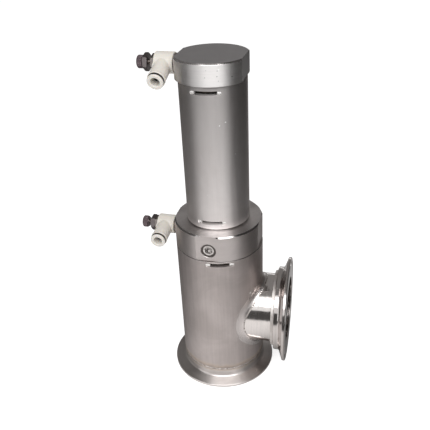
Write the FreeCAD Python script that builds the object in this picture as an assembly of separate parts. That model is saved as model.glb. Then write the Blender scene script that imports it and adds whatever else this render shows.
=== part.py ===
import FreeCAD, Part
import math
import os
from FreeCAD import Vector

# Angle-pattern sanitary diaphragm valve with a cylinder actuator and two flow-control fittings.
# Units are millimetres. The origin is the centre of the inlet ferrule's face, +Z runs up the body
# axis, +X points out of the side outlet, the fittings stand on -X and the blanking plug on -Y.
# The plug rests just above its seat, as in a closed valve.

# Clamp ferrules and the product side
FERRULE_R = 53.0
FERRULE_RIM = 2.85
FERRULE_CONE_DEG = 20.0
PASSAGE_R = 33.0
GASKET_GROOVE_AT_R = 48.5
GASKET_GROOVE_R = 2.3
GASKET_GROOVE_DEPTH = 1.6
BODY_R = 42.5
BODY_BORE_R = 38.5
BODY_BOTTOM_Z = 16.0
SEAT_Z = 12.5
PLUG_BOTTOM_Z = 14.0
PLUG_BOSS_R = 27.0
BRANCH_Z = 70.0
BRANCH_R = 35.0
BRANCH_END_X = 54.6
STEP_RING_R = 38.5
STEP_RING_LENGTH = 3.0
OUTLET_FACE_X = 69.8
OUTLET_HUB_R = 42.5

# Bonnet
BONNET_BOTTOM_Z = 132.0
COLLAR_BOTTOM_Z = 150.5
COLLAR_TOP_Z = 177.0
BONNET_TOP_Z = 194.5
COLLAR_FLAT_AT = 40.8
COLLAR_CHAMFER = 1.3
COLLAR_PORT_Z = 161.3
STEM_RECESS_R = 30.0
STEM_RECESS_TOP_Z = 146.0

# Actuator
BARREL_R = 30.0
BARREL_BORE_R = 25.0
BARREL_TOP_Z = 313.5
BARREL_FOOT_CHAMFER = 1.4
CAP_R = 33.0
CAP_TOP_Z = 332.8
CAP_FLAT_AT = 29.0
CAP_SPIGOT_BOTTOM_Z = 297.0
CAP_PORT_Z = 323.5
SPIGOT_GAP = 0.05

# Lock wires and their slots
BODY_WIRE_Z = 146.4
BODY_WIRE_R = 1.7
BARREL_FOOT_WIRE_Z = 184.7
BARREL_HEAD_WIRE_Z = 307.6
BARREL_WIRE_R = 1.6
SLOT_WIDTH = 26.0
WIRE_GAP = 17.4
BODY_SLOT_DEG = -79.0
BARREL_SLOT_DEG = -91.5

# The actuator and its fittings are clamped a little turned against the branch
ACTUATOR_TURN_DEG = -3.5

# Stem, plug and diaphragm
STEM_R = 9.97
STEM_TIP_R = 6.0
STEM_FLANGE_R = 14.0
SPINDLE_R = 10.0
SPINDLE_TOP_Z = 109.5
DIAPHRAGM_THICKNESS = 3.0
DIAPHRAGM_WEB = 1.6
DIAPHRAGM_R = 38.2
CLAMP_RING_HEIGHT = 6.0
SCREW_CIRCLE_R = 34.3
PISTON_BOTTOM_Z = 197.0
PISTON_HEIGHT = 22.0
PISTON_R = 24.8
SPRING_WIRE_R = 2.25
SPRING_MEAN_R = 19.5
SPRING_ACTIVE_TURNS = 7

# Ports and the air passages behind them
PORT_R = 6.58
PORT_DEPTH = 14.0
PORT_CHAMFER_R = 7.0
AIRWAY_R = 2.5

# Flow-control fittings, measured from the flat they are screwed into
WASHER_END = 0.9
STUD_FLANGE_END = 2.9
ELBOW_START = 3.5
ELBOW_END = 20.6
ELBOW_RING_R = 9.25
ELBOW_BARREL_R = 7.5
ELBOW_ROOT_R = 7.6
ELBOW_BARREL_AT = 13.0
ELBOW_FACE = 25.6
RELEASE_RING_END = 29.4
RELEASE_RING_R = 7.2
TUBE_R = 4.05
NECK_R = 6.2
BUSH_HEX_END = 23.8
BUSH_HEX_AF = 13.0
LOCK_NUT_AF = 14.0
LOCK_NUT_LENGTH = 3.9
KNOB_R = 5.75
KNOB_LENGTH = 6.1
NEEDLE_R = 2.55
KNOB_BORE_R = 2.58
UPPER_ELBOW_DEG = 18.0
LOWER_ELBOW_DEG = 6.0
UPPER_NUT_AT = 27.1
LOWER_NUT_AT = 23.85
KNOB_AT = 31.2

UP = Vector(0, 0, 1)
OUT = Vector(1, 0, 0)
LEFT = Vector(-1, 0, 0)
ORIGIN = Vector(0, 0, 0)


def save(shape, node):
    """Write one node as a STEP file, with its split faces joined where that keeps it sound."""
    joined = shape.removeSplitter()
    if joined.isValid():
        shape = joined
    shape.exportStep(os.path.join("parts", node + ".step"))


def turned(points, z0=0.0):
    """Solid turned about Z from (radius, height) points."""
    corners = [Vector(r, 0, z + z0) for r, z in points]
    profile = Part.Face(Part.makePolygon(corners + [corners[0]]))
    return profile.revolve(ORIGIN, UP, 360)


def pipe(outer, inner, z0, z1):
    """Plain tube about Z."""
    return turned([(inner, z0), (outer, z0), (outer, z1), (inner, z1)])


def rod(radius, z0, z1, x=0.0, y=0.0):
    """Solid round bar along Z."""
    return Part.makeCylinder(radius, z1 - z0, Vector(x, y, z0), UP)


def ring(major, minor, z):
    """Round-section ring about Z."""
    return Part.makeTorus(major, minor, Vector(0, 0, z), UP)


def hexPrism(across_flats, z0, z1):
    """Hexagonal bar along Z with a flat towards +X."""
    reach = across_flats / math.sqrt(3)
    corners = []
    for i in range(7):
        angle = math.radians(30 + 60 * i)
        corners.append(Vector(reach * math.cos(angle), reach * math.sin(angle), z0))
    return Part.Face(Part.makePolygon(corners)).extrude(Vector(0, 0, z1 - z0))


def hexNut(across_flats, z0, z1, chamfer=0.7):
    """Hexagonal bar with the turned chamfers a nut has on both ends."""
    across_corners = across_flats / math.cos(math.radians(30))
    edge = across_corners / 2 + 0.05
    blank = turned([(0, z0), (edge - chamfer, z0), (edge, z0 + chamfer * 0.6),
                    (edge, z1 - chamfer * 0.6), (edge - chamfer, z1), (0, z1)])
    return hexPrism(across_flats, z0, z1).common(blank)


def laid(shape, direction, at):
    """Turn a shape built along +Z so that it runs along direction, and move it."""
    placed = shape.copy()
    turn = FreeCAD.Rotation(UP, direction)
    placed.Placement = FreeCAD.Placement(at, turn)
    return placed


def ferruleProfile(hub_r, hub_end):
    """Outline of a clamp ferrule with its face at height 0, without its bore."""
    rim_break = 0.5
    cone_height = (FERRULE_R - hub_r) * math.tan(math.radians(FERRULE_CONE_DEG))
    cone_top = FERRULE_RIM + cone_height
    return [(FERRULE_R - rim_break, 0), (FERRULE_R, rim_break), (FERRULE_R, FERRULE_RIM - 0.3),
            (FERRULE_R - 0.4, FERRULE_RIM + 0.15), (hub_r + 1.4, cone_top - 0.5),
            (hub_r + 0.4, cone_top + 0.25), (hub_r, cone_top + 1.4), (hub_r, hub_end)]


def gasketGroove():
    """Round-bottomed groove in a ferrule's face for the gasket's bead."""
    return ring(GASKET_GROOVE_AT_R, GASKET_GROOVE_R, GASKET_GROOVE_DEPTH - GASKET_GROOVE_R)


def inletFerrule():
    """Lower clamp ferrule with the conical valve seat turned into its top."""
    seat_top_r = PASSAGE_R + (BODY_BOTTOM_Z - SEAT_Z)
    outline = [(PASSAGE_R, 0)] + ferruleProfile(BODY_R, BODY_BOTTOM_Z)
    outline += [(seat_top_r, BODY_BOTTOM_Z), (PASSAGE_R, SEAT_Z)]
    return turned(outline).cut(gasketGroove())


def outletFerrule():
    """Step ring, hub and clamp ferrule at the end of the branch."""
    length = OUTLET_FACE_X - BRANCH_END_X
    step_from = length - STEP_RING_LENGTH
    outline = [(PASSAGE_R, 0)] + ferruleProfile(OUTLET_HUB_R, step_from - 0.5)
    outline += [(OUTLET_HUB_R - 0.5, step_from), (STEP_RING_R, step_from),
                (STEP_RING_R, length - 0.4), (STEP_RING_R - 0.4, length), (PASSAGE_R, length)]
    solid = turned(outline).cut(gasketGroove())
    return laid(solid, LEFT, Vector(OUTLET_FACE_X, 0, BRANCH_Z))


def branchTube():
    """Short tube set on the body and cut to the body's round."""
    tube = pipe(BRANCH_R, PASSAGE_R, 0, BRANCH_END_X)
    tube = laid(tube, OUT, Vector(0, 0, BRANCH_Z))
    return tube.cut(rod(BODY_R, BRANCH_Z - 60, BRANCH_Z + 60))


def lockWireSlot(wall_out, wall_in, z, height, angle):
    """Tangential slot through a tube's wall, square to the given direction."""
    blank = Part.makeBox(SLOT_WIDTH, wall_out - wall_in + 8, height,
                         Vector(-SLOT_WIDTH / 2, -wall_out - 1, z - height / 2))
    ends = [e for e in blank.Edges if abs(e.tangentAt(e.FirstParameter).y) > 0.9]
    blank = blank.makeFillet(height / 2 - 0.1, ends)
    blank.rotate(ORIGIN, UP, angle + 90)
    return blank


def bodyTube():
    """Chamber tube with the branch opening, the lock-wire groove and its slot."""
    tube = pipe(BODY_R, BODY_BORE_R, BODY_BOTTOM_Z, COLLAR_BOTTOM_Z)
    opening = Part.makeCylinder(PASSAGE_R, BODY_R + 5, Vector(0, 0, BRANCH_Z), OUT)
    tube = tube.cut(opening)
    tube = tube.cut(ring(BODY_BORE_R, BODY_WIRE_R + 0.05, BODY_WIRE_Z))
    slot = lockWireSlot(BODY_R, BODY_BORE_R - 3, BODY_WIRE_Z, 2 * BODY_WIRE_R + 0.1, BODY_SLOT_DEG)
    return tube.cut(slot)


def lockWire(major, minor, z, angle):
    """Round wire bent to a ring, open at the slot so that its two ends show."""
    half_gap = math.degrees(math.asin(WIRE_GAP / 2 / major))
    section = Part.Face(Part.Wire(Part.makeCircle(minor, Vector(major, 0, z), Vector(0, 1, 0))))
    wire = section.revolve(ORIGIN, UP, 360 - 2 * half_gap)
    wire.rotate(ORIGIN, UP, angle + half_gap)
    return wire


def oRingGroove(radius, section, z):
    """Square groove in the outside of a spigot for a round sealing ring."""
    width = section * 1.35
    depth = section * 0.8
    return pipe(radius + 1, radius - depth, z - width / 2, z + width / 2)


def oRing(bore_r, section, z):
    """Sealing ring that fills its groove and stops just short of the bore."""
    depth = section * 0.8
    half = depth / 2
    return ring(bore_r - half, half - 0.03, z)


def flatCut(distance, z0, z1, angle):
    """Block that mills one flat at a distance from the axis."""
    block = Part.makeBox(20, 120, z1 - z0, Vector(distance, -60, z0))
    block.rotate(ORIGIN, UP, angle)
    return block


def portTool(flat_at, z, direction, airway_at):
    """Threaded port with its countersink and the airway beyond it, along one direction."""
    mouth = PORT_CHAMFER_R - PORT_R
    tool = turned([(0, -PORT_DEPTH - 1), (AIRWAY_R, -PORT_DEPTH - 1), (PORT_R, -PORT_DEPTH),
                   (PORT_R, -mouth), (PORT_CHAMFER_R, 0), (PORT_CHAMFER_R, 1), (0, 1)])
    reach = flat_at - airway_at
    tool = tool.fuse(rod(AIRWAY_R, -reach, 0))
    at = Vector(direction.x * flat_at, direction.y * flat_at, z)
    return laid(tool, direction, at)


def bonnet():
    """Collar with flats and ports, a spigot for the body below and for the barrel above."""
    lower_r = BODY_BORE_R - SPIGOT_GAP
    upper_r = BARREL_BORE_R - SPIGOT_GAP
    outline = [(0, BONNET_BOTTOM_Z), (lower_r - 0.8, BONNET_BOTTOM_Z),
               (lower_r, BONNET_BOTTOM_Z + 0.8), (lower_r, COLLAR_BOTTOM_Z),
               (BODY_R, COLLAR_BOTTOM_Z), (BODY_R, COLLAR_TOP_Z - COLLAR_CHAMFER),
               (BODY_R - COLLAR_CHAMFER, COLLAR_TOP_Z), (upper_r, COLLAR_TOP_Z),
               (upper_r, BONNET_TOP_Z - 1), (upper_r - 1, BONNET_TOP_Z), (0, BONNET_TOP_Z)]
    solid = turned(outline)
    for angle in (-90, 0, 180):
        solid = solid.cut(flatCut(COLLAR_FLAT_AT, COLLAR_BOTTOM_Z, COLLAR_TOP_Z + 1, angle))
    solid = solid.cut(rod(STEM_RECESS_R, BONNET_BOTTOM_Z - 1, STEM_RECESS_TOP_Z))
    solid = solid.cut(turned([(0, BONNET_BOTTOM_Z), (10.4, BONNET_BOTTOM_Z), (10.4, 150),
                              (13, 150), (13, 170), (10.4, 170), (10.4, 185), (14, 185),
                              (14, 192), (15, 192), (15, 193.3), (14, 193.3), (14, 195), (0, 195)]))
    solid = solid.cut(ring(BODY_BORE_R, BODY_WIRE_R + 0.05, BODY_WIRE_Z))
    solid = solid.cut(ring(BARREL_BORE_R, BARREL_WIRE_R + 0.05, BARREL_FOOT_WIRE_Z))
    solid = solid.cut(oRingGroove(lower_r, 3.53, 139))
    solid = solid.cut(oRingGroove(upper_r, 2.62, 190.2))
    airway_r = 18.7
    for direction in (LEFT, Vector(0, -1, 0)):
        solid = solid.cut(portTool(COLLAR_FLAT_AT, COLLAR_PORT_Z, direction, airway_r))
        solid = solid.cut(rod(AIRWAY_R, COLLAR_PORT_Z, BONNET_TOP_Z + 1,
                              direction.x * airway_r, direction.y * airway_r))
    for x, y in screwPlaces():
        solid = solid.cut(rod(2.0, BONNET_BOTTOM_Z - 1, BONNET_BOTTOM_Z + 6, x, y))
    return solid


def screwPlaces():
    """Centres of the six screws that hold the diaphragm's clamp ring."""
    angles = [math.radians(30 + 60 * i) for i in range(6)]
    return [(SCREW_CIRCLE_R * math.cos(a), SCREW_CIRCLE_R * math.sin(a)) for a in angles]


def barrel():
    """Actuator cylinder tube with a slot and a groove for the lock wire at each end."""
    foot = COLLAR_TOP_Z
    tube = turned([(BARREL_BORE_R + 0.4, foot), (BARREL_R - BARREL_FOOT_CHAMFER, foot),
                   (BARREL_R, foot + BARREL_FOOT_CHAMFER), (BARREL_R, BARREL_TOP_Z - 0.6),
                   (BARREL_R - 0.6, BARREL_TOP_Z), (BARREL_BORE_R + 0.4, BARREL_TOP_Z),
                   (BARREL_BORE_R, BARREL_TOP_Z - 0.6), (BARREL_BORE_R, foot + 0.6)])
    for z in (BARREL_FOOT_WIRE_Z, BARREL_HEAD_WIRE_Z):
        tube = tube.cut(ring(BARREL_BORE_R, BARREL_WIRE_R + 0.05, z))
        tube = tube.cut(lockWireSlot(BARREL_R, BARREL_BORE_R - 2, z,
                                     2 * BARREL_WIRE_R + 0.1, BARREL_SLOT_DEG))
    return tube


def endCap():
    """Actuator head with two flats, a side port and a spigot for the barrel."""
    spigot_r = BARREL_BORE_R - SPIGOT_GAP
    edge = 1.2
    solid = turned([(0, CAP_SPIGOT_BOTTOM_Z), (spigot_r - 1, CAP_SPIGOT_BOTTOM_Z),
                    (spigot_r, CAP_SPIGOT_BOTTOM_Z + 1), (spigot_r, BARREL_TOP_Z),
                    (CAP_R - 0.6, BARREL_TOP_Z), (CAP_R, BARREL_TOP_Z + 0.6),
                    (CAP_R, CAP_TOP_Z - edge), (CAP_R - edge, CAP_TOP_Z), (0, CAP_TOP_Z)])
    for angle in (0, 180):
        solid = solid.cut(flatCut(CAP_FLAT_AT, BARREL_TOP_Z, CAP_TOP_Z + 1, angle))
    solid = solid.cut(ring(BARREL_BORE_R, BARREL_WIRE_R + 0.05, BARREL_HEAD_WIRE_Z))
    solid = solid.cut(oRingGroove(spigot_r, 2.62, 301.4))
    airway_r = 11.5
    solid = solid.cut(portTool(CAP_FLAT_AT, CAP_PORT_Z, LEFT, airway_r))
    solid = solid.cut(rod(AIRWAY_R, CAP_SPIGOT_BOTTOM_Z - 1, CAP_PORT_Z, -airway_r))
    return solid


def blankingPlug():
    """Headless plug with a chamfered face and a hexagon socket, just below the flat."""
    face = -0.9
    plug = turned([(0, -10), (5.6, -10), (6.5, -9.1), (6.5, face - 1.2), (5.35, face), (0, face)])
    plug = plug.cut(hexPrism(7.0, face - 4.5, face + 1))
    return laid(plug, Vector(0, -1, 0), Vector(0, -COLLAR_FLAT_AT, COLLAR_PORT_Z))


def blankingPlugSeal():
    """Sealing ring at the bottom of the plugged port."""
    seal = turned([(4.2, -12.6), (6.4, -12.6), (6.4, -10.1), (4.2, -10.1)])
    return laid(seal, Vector(0, -1, 0), Vector(0, -COLLAR_FLAT_AT, COLLAR_PORT_Z))


def stemBush():
    """Plain bearing that guides the stem in the bonnet."""
    return turned([(10.0, 150.2), (12.4, 150.2), (12.95, 150.8), (12.95, 169.4), (12.4, 169.9),
                   (10.0, 169.9)])


def stemSeal():
    """Lip seal round the stem, with its open side towards the piston."""
    return turned([(10.03, 185.1), (13.95, 185.1), (13.95, 191.4), (13.2, 191.4),
                   (12.2, 187.6), (11.8, 187.6), (10.8, 191.4), (10.03, 191.4)])


def stemCirclip():
    """Open retaining ring that holds the stem's seal."""
    clip = pipe(14.9, 12.0, 192.1, 193.2)
    return clip.cut(Part.makeBox(10, 4, 3, Vector(8, -2, 191)))


def diaphragm():
    """Moulded seal: flat rim, one deep convolution and a thick hub clamped on the stem."""
    rim_top = BONNET_BOTTOM_Z
    rim_bottom = rim_top - DIAPHRAGM_THICKNESS
    hub_bottom = SPINDLE_TOP_Z
    hub_top = hub_bottom + DIAPHRAGM_THICKNESS
    web = DIAPHRAGM_WEB
    outline = [(STEM_TIP_R + 0.1, hub_bottom), (STEM_FLANGE_R + 0.5, hub_bottom),
               (STEM_FLANGE_R + 2.6, hub_bottom + 1.8), (29.0, rim_bottom - 2.2),
               (30.6, rim_bottom), (DIAPHRAGM_R, rim_bottom), (DIAPHRAGM_R, rim_top),
               (29.6, rim_top), (28.0, rim_top - 1.6), (STEM_FLANGE_R + 2.4 - web, hub_top + 1.3),
               (STEM_FLANGE_R + 0.1, hub_top), (STEM_TIP_R + 0.1, hub_top)]
    solid = turned(outline)
    for x, y in screwPlaces():
        solid = solid.cut(rod(2.2, rim_bottom - 1, rim_top + 1, x, y))
    return solid


def diaphragmClampRing():
    """Ring that clamps the diaphragm's rim to the bonnet."""
    top = BONNET_BOTTOM_Z - DIAPHRAGM_THICKNESS
    bottom = top - CLAMP_RING_HEIGHT
    solid = turned([(31.5, bottom), (DIAPHRAGM_R - 1, bottom), (DIAPHRAGM_R, bottom + 1),
                    (DIAPHRAGM_R, top), (30.8, top), (30.8, bottom + 1.2)])
    for x, y in screwPlaces():
        solid = solid.cut(rod(2.2, bottom - 1, top + 1, x, y))
        solid = solid.cut(rod(3.3, bottom - 1, bottom + 3.2, x, y))
    return solid


def clampRingScrews():
    """Six socket screws that hold the clamp ring."""
    bottom = BONNET_BOTTOM_Z - DIAPHRAGM_THICKNESS - CLAMP_RING_HEIGHT
    screws = []
    for x, y in screwPlaces():
        screw = rod(3.2, bottom + 0.2, bottom + 3.2, x, y).fuse(rod(1.95, bottom + 3.2, 136, x, y))
        socket = hexPrism(2.5, bottom, bottom + 2)
        socket.translate(Vector(x, y, 0))
        screws.append(screw.cut(socket))
    return Part.makeCompound(screws)


def plugDisc():
    """Valve plug: disc with a boss for the sealing ring below and the spindle above."""
    return turned([(0, PLUG_BOTTOM_Z), (PLUG_BOSS_R, PLUG_BOTTOM_Z), (PLUG_BOSS_R, 19),
                   (36.5, 19), (36.5, 22.8), (35.3, 24), (15, 24),
                   (12, 25.3), (SPINDLE_R, 28.5), (SPINDLE_R, SPINDLE_TOP_Z - 12),
                   (STEM_FLANGE_R - 0.4, SPINDLE_TOP_Z - 7), (STEM_FLANGE_R, SPINDLE_TOP_Z - 5),
                   (STEM_FLANGE_R, SPINDLE_TOP_Z), (STEM_TIP_R, SPINDLE_TOP_Z),
                   (STEM_TIP_R, SPINDLE_TOP_Z - 16), (0, SPINDLE_TOP_Z - 19.5)]).cut(
                       rod(5.0, 12, 26))


def plugSealRing():
    """Sealing ring with a conical face held a hair above the seat."""
    clearance = 0.25 * math.sqrt(2)
    low_r = PASSAGE_R + (PLUG_BOTTOM_Z - SEAT_Z) - clearance
    high_r = 36.5
    return turned([(PLUG_BOSS_R, PLUG_BOTTOM_Z), (low_r, PLUG_BOTTOM_Z),
                   (high_r, PLUG_BOTTOM_Z + high_r - low_r), (high_r, 19), (PLUG_BOSS_R, 19)])


def sealClampDisc():
    """Thin disc with a threaded shank that clamps the sealing ring to the plug."""
    face = SEAT_Z + 0.3
    return turned([(0, face), (31.4, face), (32.2, face + 0.5), (32.4, PLUG_BOTTOM_Z),
                   (4.95, PLUG_BOTTOM_Z), (4.95, 25.5), (0, 25.5)])


def stem():
    """Stem with the flange that clamps the diaphragm's hub and the seat for the piston."""
    flange_bottom = SPINDLE_TOP_Z + DIAPHRAGM_THICKNESS
    return turned([(0, SPINDLE_TOP_Z - 15), (STEM_TIP_R - 0.8, SPINDLE_TOP_Z - 15),
                   (STEM_TIP_R, SPINDLE_TOP_Z - 14.2), (STEM_TIP_R, flange_bottom),
                   (STEM_FLANGE_R, flange_bottom), (STEM_FLANGE_R, flange_bottom + 4.5),
                   (STEM_FLANGE_R - 1.5, flange_bottom + 6), (STEM_R, flange_bottom + 6),
                   (STEM_R, PISTON_BOTTOM_Z - 0.4), (STEM_R - 0.4, PISTON_BOTTOM_Z),
                   (STEM_TIP_R, PISTON_BOTTOM_Z), (STEM_TIP_R, 226), (STEM_TIP_R - 1, 227),
                   (0, 227)])


def piston():
    """Piston with grooves for its seal, its guide ring and the ring in its bore."""
    top = PISTON_BOTTOM_Z + PISTON_HEIGHT
    solid = turned([(STEM_TIP_R, PISTON_BOTTOM_Z), (PISTON_R - 1, PISTON_BOTTOM_Z),
                    (PISTON_R, PISTON_BOTTOM_Z + 1), (PISTON_R, top - 1), (PISTON_R - 1, top),
                    (22.3, top), (22.3, top - 3), (16.7, top - 3), (16.7, top), (STEM_TIP_R, top)])
    solid = solid.cut(oRingGroove(PISTON_R, 3.53, PISTON_BOTTOM_Z + 6))
    solid = solid.cut(pipe(PISTON_R + 1, 22.6, PISTON_BOTTOM_Z + 11, PISTON_BOTTOM_Z + 16))
    return solid.cut(pipe(8.0, 5, PISTON_BOTTOM_Z + 8, PISTON_BOTTOM_Z + 10.8))


def springPoints(bottom, top):
    """Points along a helix whose two end turns lie closed."""
    wire = 2 * SPRING_WIRE_R
    closed_pitch = wire + 0.15
    per_turn = 16
    turns = SPRING_ACTIVE_TURNS + 2
    low = bottom + SPRING_WIRE_R * 0.5
    high = top - SPRING_WIRE_R * 0.5
    active_pitch = (high - low - 2 * closed_pitch) / SPRING_ACTIVE_TURNS
    points = []
    for i in range(turns * per_turn + 1):
        t = i / per_turn
        if t < 1:
            z = low + closed_pitch * t
        elif t < turns - 1:
            z = low + closed_pitch + active_pitch * (t - 1)
        else:
            z = high - closed_pitch * (turns - t)
        angle = 2 * math.pi * t
        points.append(Vector(SPRING_MEAN_R * math.cos(angle), SPRING_MEAN_R * math.sin(angle), z))
    return points


def returnSpring():
    """Closing spring with closed and ground ends, between the piston and the cap."""
    bottom = PISTON_BOTTOM_Z + PISTON_HEIGHT - 3
    top = CAP_SPIGOT_BOTTOM_Z
    curve = Part.BSplineCurve()
    points = springPoints(bottom, top)
    curve.interpolate(points)
    path = Part.Wire(curve.toShape())
    start = curve.tangent(curve.FirstParameter)[0]
    section = Part.Wire(Part.makeCircle(SPRING_WIRE_R, points[0], start))
    coil = path.makePipeShell([section], True, True)
    ground = rod(30, bottom + 0.02, top - 0.02)
    return coil.common(ground)


def pistonSeal():
    """Ring round the piston that runs on the barrel's bore."""
    return oRing(BARREL_BORE_R - 0.05, 3.53, PISTON_BOTTOM_Z + 6)


def pistonGuideRing():
    """Split guide ring round the piston."""
    band = pipe(BARREL_BORE_R - 0.05, 22.65, PISTON_BOTTOM_Z + 11.1, PISTON_BOTTOM_Z + 15.9)
    return band.cut(Part.makeBox(8, 1.6, 8, Vector(20, -0.8, PISTON_BOTTOM_Z + 10)))


def pistonBoreSeal():
    """Ring between the piston's bore and the stem."""
    return ring(7.0, 0.95, PISTON_BOTTOM_Z + 9.4)


def pistonNut():
    """Hexagon nut that holds the piston on the stem."""
    bottom = PISTON_BOTTOM_Z + PISTON_HEIGHT
    return hexNut(19, bottom, bottom + 6.5).cut(rod(STEM_TIP_R, bottom - 1, bottom + 8))


def stud():
    """Hollow stud: thread, flange and the neck that the elbow swivels on."""
    solid = turned([(0, -9.5), (5.7, -9.5), (6.5, -8.7), (6.5, 0.3), (6.0, 0.5),
                    (6.0, WASHER_END), (8.1, WASHER_END), (8.4, WASHER_END + 0.4),
                    (8.4, STUD_FLANGE_END - 0.4), (8.1, STUD_FLANGE_END),
                    (NECK_R, STUD_FLANGE_END), (NECK_R, ELBOW_END), (0, ELBOW_END)])
    bore = turned([(0, -10), (3.0, -10), (3.0, 2.4), (1.8, 3.6), (1.8, 4.6), (3.0, 5.8),
                   (3.0, 14), (4.6, 14), (4.6, 22), (0, 22)])
    solid = solid.cut(bore)
    for angle in (0, 90):
        solid = solid.cut(laid(rod(1.4, -8, 8), Vector(math.cos(math.radians(angle)),
                                                     math.sin(math.radians(angle)), 0),
                               Vector(0, 0, 11)))
    for z in (6.6, 18.6):
        solid = solid.cut(pipe(NECK_R + 1, NECK_R - 0.9, z - 0.8, z + 0.8))
    return solid


def swivelSeals():
    """Two rings between the stud's neck and the elbow."""
    rings = [pipe(NECK_R, NECK_R - 0.85, z - 0.7, z + 0.7) for z in (6.6, 18.6)]
    return Part.makeCompound(rings)


def portWasher():
    """Sealing washer between the stud's flange and the flat."""
    return pipe(8.0, 6.6, 0.0, WASHER_END)


def elbowBody():
    """Moulded elbow: ring round the stud and the push-in socket at right angles to it."""
    hub = turned([(NECK_R + 0.05, ELBOW_START), (ELBOW_RING_R - 0.4, ELBOW_START),
                  (ELBOW_RING_R, ELBOW_START + 0.4), (ELBOW_RING_R, ELBOW_END - 0.4),
                  (ELBOW_RING_R - 0.4, ELBOW_END), (NECK_R + 0.05, ELBOW_END)])
    socket = turned([(0, 0), (ELBOW_ROOT_R, 0), (ELBOW_ROOT_R, 9),
                     (ELBOW_BARREL_R, ELBOW_FACE - 2), (ELBOW_BARREL_R, ELBOW_FACE - 0.5),
                     (ELBOW_BARREL_R - 0.5, ELBOW_FACE), (0, ELBOW_FACE)])
    socket = laid(socket, OUT, Vector(0, 0, ELBOW_BARREL_AT))
    solid = hub.fuse(socket.cut(rod(NECK_R + 0.05, 0, 30)))
    chamber = pipe(NECK_R + 1.6, NECK_R - 1, 8.6, 13.4)
    face = ELBOW_FACE
    way = turned([(0, 0), (2.2, 0), (2.2, face - 14), (TUBE_R + 0.05, face - 14),
                  (TUBE_R + 0.05, face - 10.8), (5.8, face - 10.8), (5.8, face - 7.2),
                  (5.4, face - 7.2), (5.4, face - 6.4), (6.2, face - 6.4), (6.2, face - 1.8),
                  (5.35, face - 1.0), (5.35, face - 0.3), (5.7, face + 0.1), (0, face + 0.6)])
    way = laid(way, OUT, Vector(0, 0, ELBOW_BARREL_AT))
    feed = laid(rod(2.2, 5, 8.5), OUT, Vector(0, 0, 11.6))
    return solid.cut(chamber).cut(way).cut(feed)


def alongSocket(shape):
    """Place a piece built along +Z in the elbow's push-in socket."""
    return laid(shape, OUT, Vector(0, 0, ELBOW_BARREL_AT))


def tubeSeal():
    """Lip seal that grips the inserted tube."""
    foot = ELBOW_FACE - 10.6
    return alongSocket(turned([(4.15, foot), (5.75, foot), (5.75, foot + 3.2), (5.0, foot + 3.2),
                               (4.7, foot + 1.6), (4.15, foot + 2.8)]))


def collet():
    """Spring-steel grip ring with eight teeth."""
    foot = ELBOW_FACE - 6.3
    cone = turned([(5.2, foot), (6.1, foot), (6.1, foot + 0.8), (5.2, foot + 0.8),
                   (4.35, foot + 0.4), (4.35, foot + 0.1)])
    for i in range(8):
        gap = Part.makeBox(2.2, 0.5, 3, Vector(3.6, -0.25, foot - 1))
        gap.rotate(ORIGIN, UP, 45 * i)
        cone = cone.cut(gap)
    return alongSocket(cone)


def releaseRing():
    """Push ring whose skirt opens the grip ring."""
    foot = ELBOW_FACE - 3.8
    back = ELBOW_FACE + 1.7
    return alongSocket(turned([(TUBE_R, foot), (5.2, foot), (5.75, foot + 0.5),
                               (5.75, foot + 1.1), (5.2, foot + 1.4), (5.2, back),
                               (RELEASE_RING_R - 0.4, back), (RELEASE_RING_R, back + 0.4),
                               (RELEASE_RING_R, RELEASE_RING_END - 0.5),
                               (RELEASE_RING_R - 0.5, RELEASE_RING_END),
                               (TUBE_R + 0.3, RELEASE_RING_END),
                               (TUBE_R, RELEASE_RING_END - 0.3)]))


def hexBush():
    """Threaded bush with a hexagon that closes the stud and carries the needle."""
    head = hexNut(BUSH_HEX_AF, ELBOW_END + 0.1, BUSH_HEX_END, 0.5)
    body = head.fuse(rod(4.55, 14.5, ELBOW_END + 0.2))
    return body.cut(rod(2.6, 14, 26))


def needle():
    """Threaded needle with a tapered tip that throttles the stud's bore."""
    end = KNOB_AT + KNOB_LENGTH - 1.2
    return turned([(0, 6.2), (0.6, 6.2), (1.7, 9.4), (1.7, 12.6), (NEEDLE_R, 13.6),
                   (NEEDLE_R, end - 0.4), (NEEDLE_R - 0.4, end), (0, end)])


def lockNut(at):
    """Thin hexagon nut on the needle's thread."""
    return hexNut(LOCK_NUT_AF, at, at + LOCK_NUT_LENGTH, 0.8).cut(rod(2.6, at - 1, at + 6))


def knob():
    """Knurled knob pressed on the needle's end."""
    flutes = 24
    at = KNOB_AT
    end = at + KNOB_LENGTH
    solid = turned([(0, at), (KNOB_R - 0.6, at), (KNOB_R, at + 0.6), (KNOB_R, end - 0.7),
                    (KNOB_R - 0.7, end), (0, end)])
    cutters = []
    for i in range(flutes):
        angle = 2 * math.pi * i / flutes
        cutters.append(rod(0.42, at - 1, end + 1, (KNOB_R + 0.12) * math.cos(angle),
                           (KNOB_R + 0.12) * math.sin(angle)))
    solid = solid.cut(Part.makeCompound(cutters))
    return solid.cut(rod(KNOB_BORE_R, at - 1, end - 1.15))


def fittingPlacement(flat_at, z, elbow_deg):
    """Placement that lays a fitting along -X with its socket towards -Y and down."""
    droop = math.radians(elbow_deg)
    outward = LEFT
    socket = Vector(0, -math.cos(droop), -math.sin(droop))
    side = outward.cross(socket)
    matrix = FreeCAD.Matrix(socket.x, side.x, outward.x, -flat_at,
                            socket.y, side.y, outward.y, 0,
                            socket.z, side.z, outward.z, z,
                            0, 0, 0, 1)
    return FreeCAD.Placement(matrix)


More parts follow.
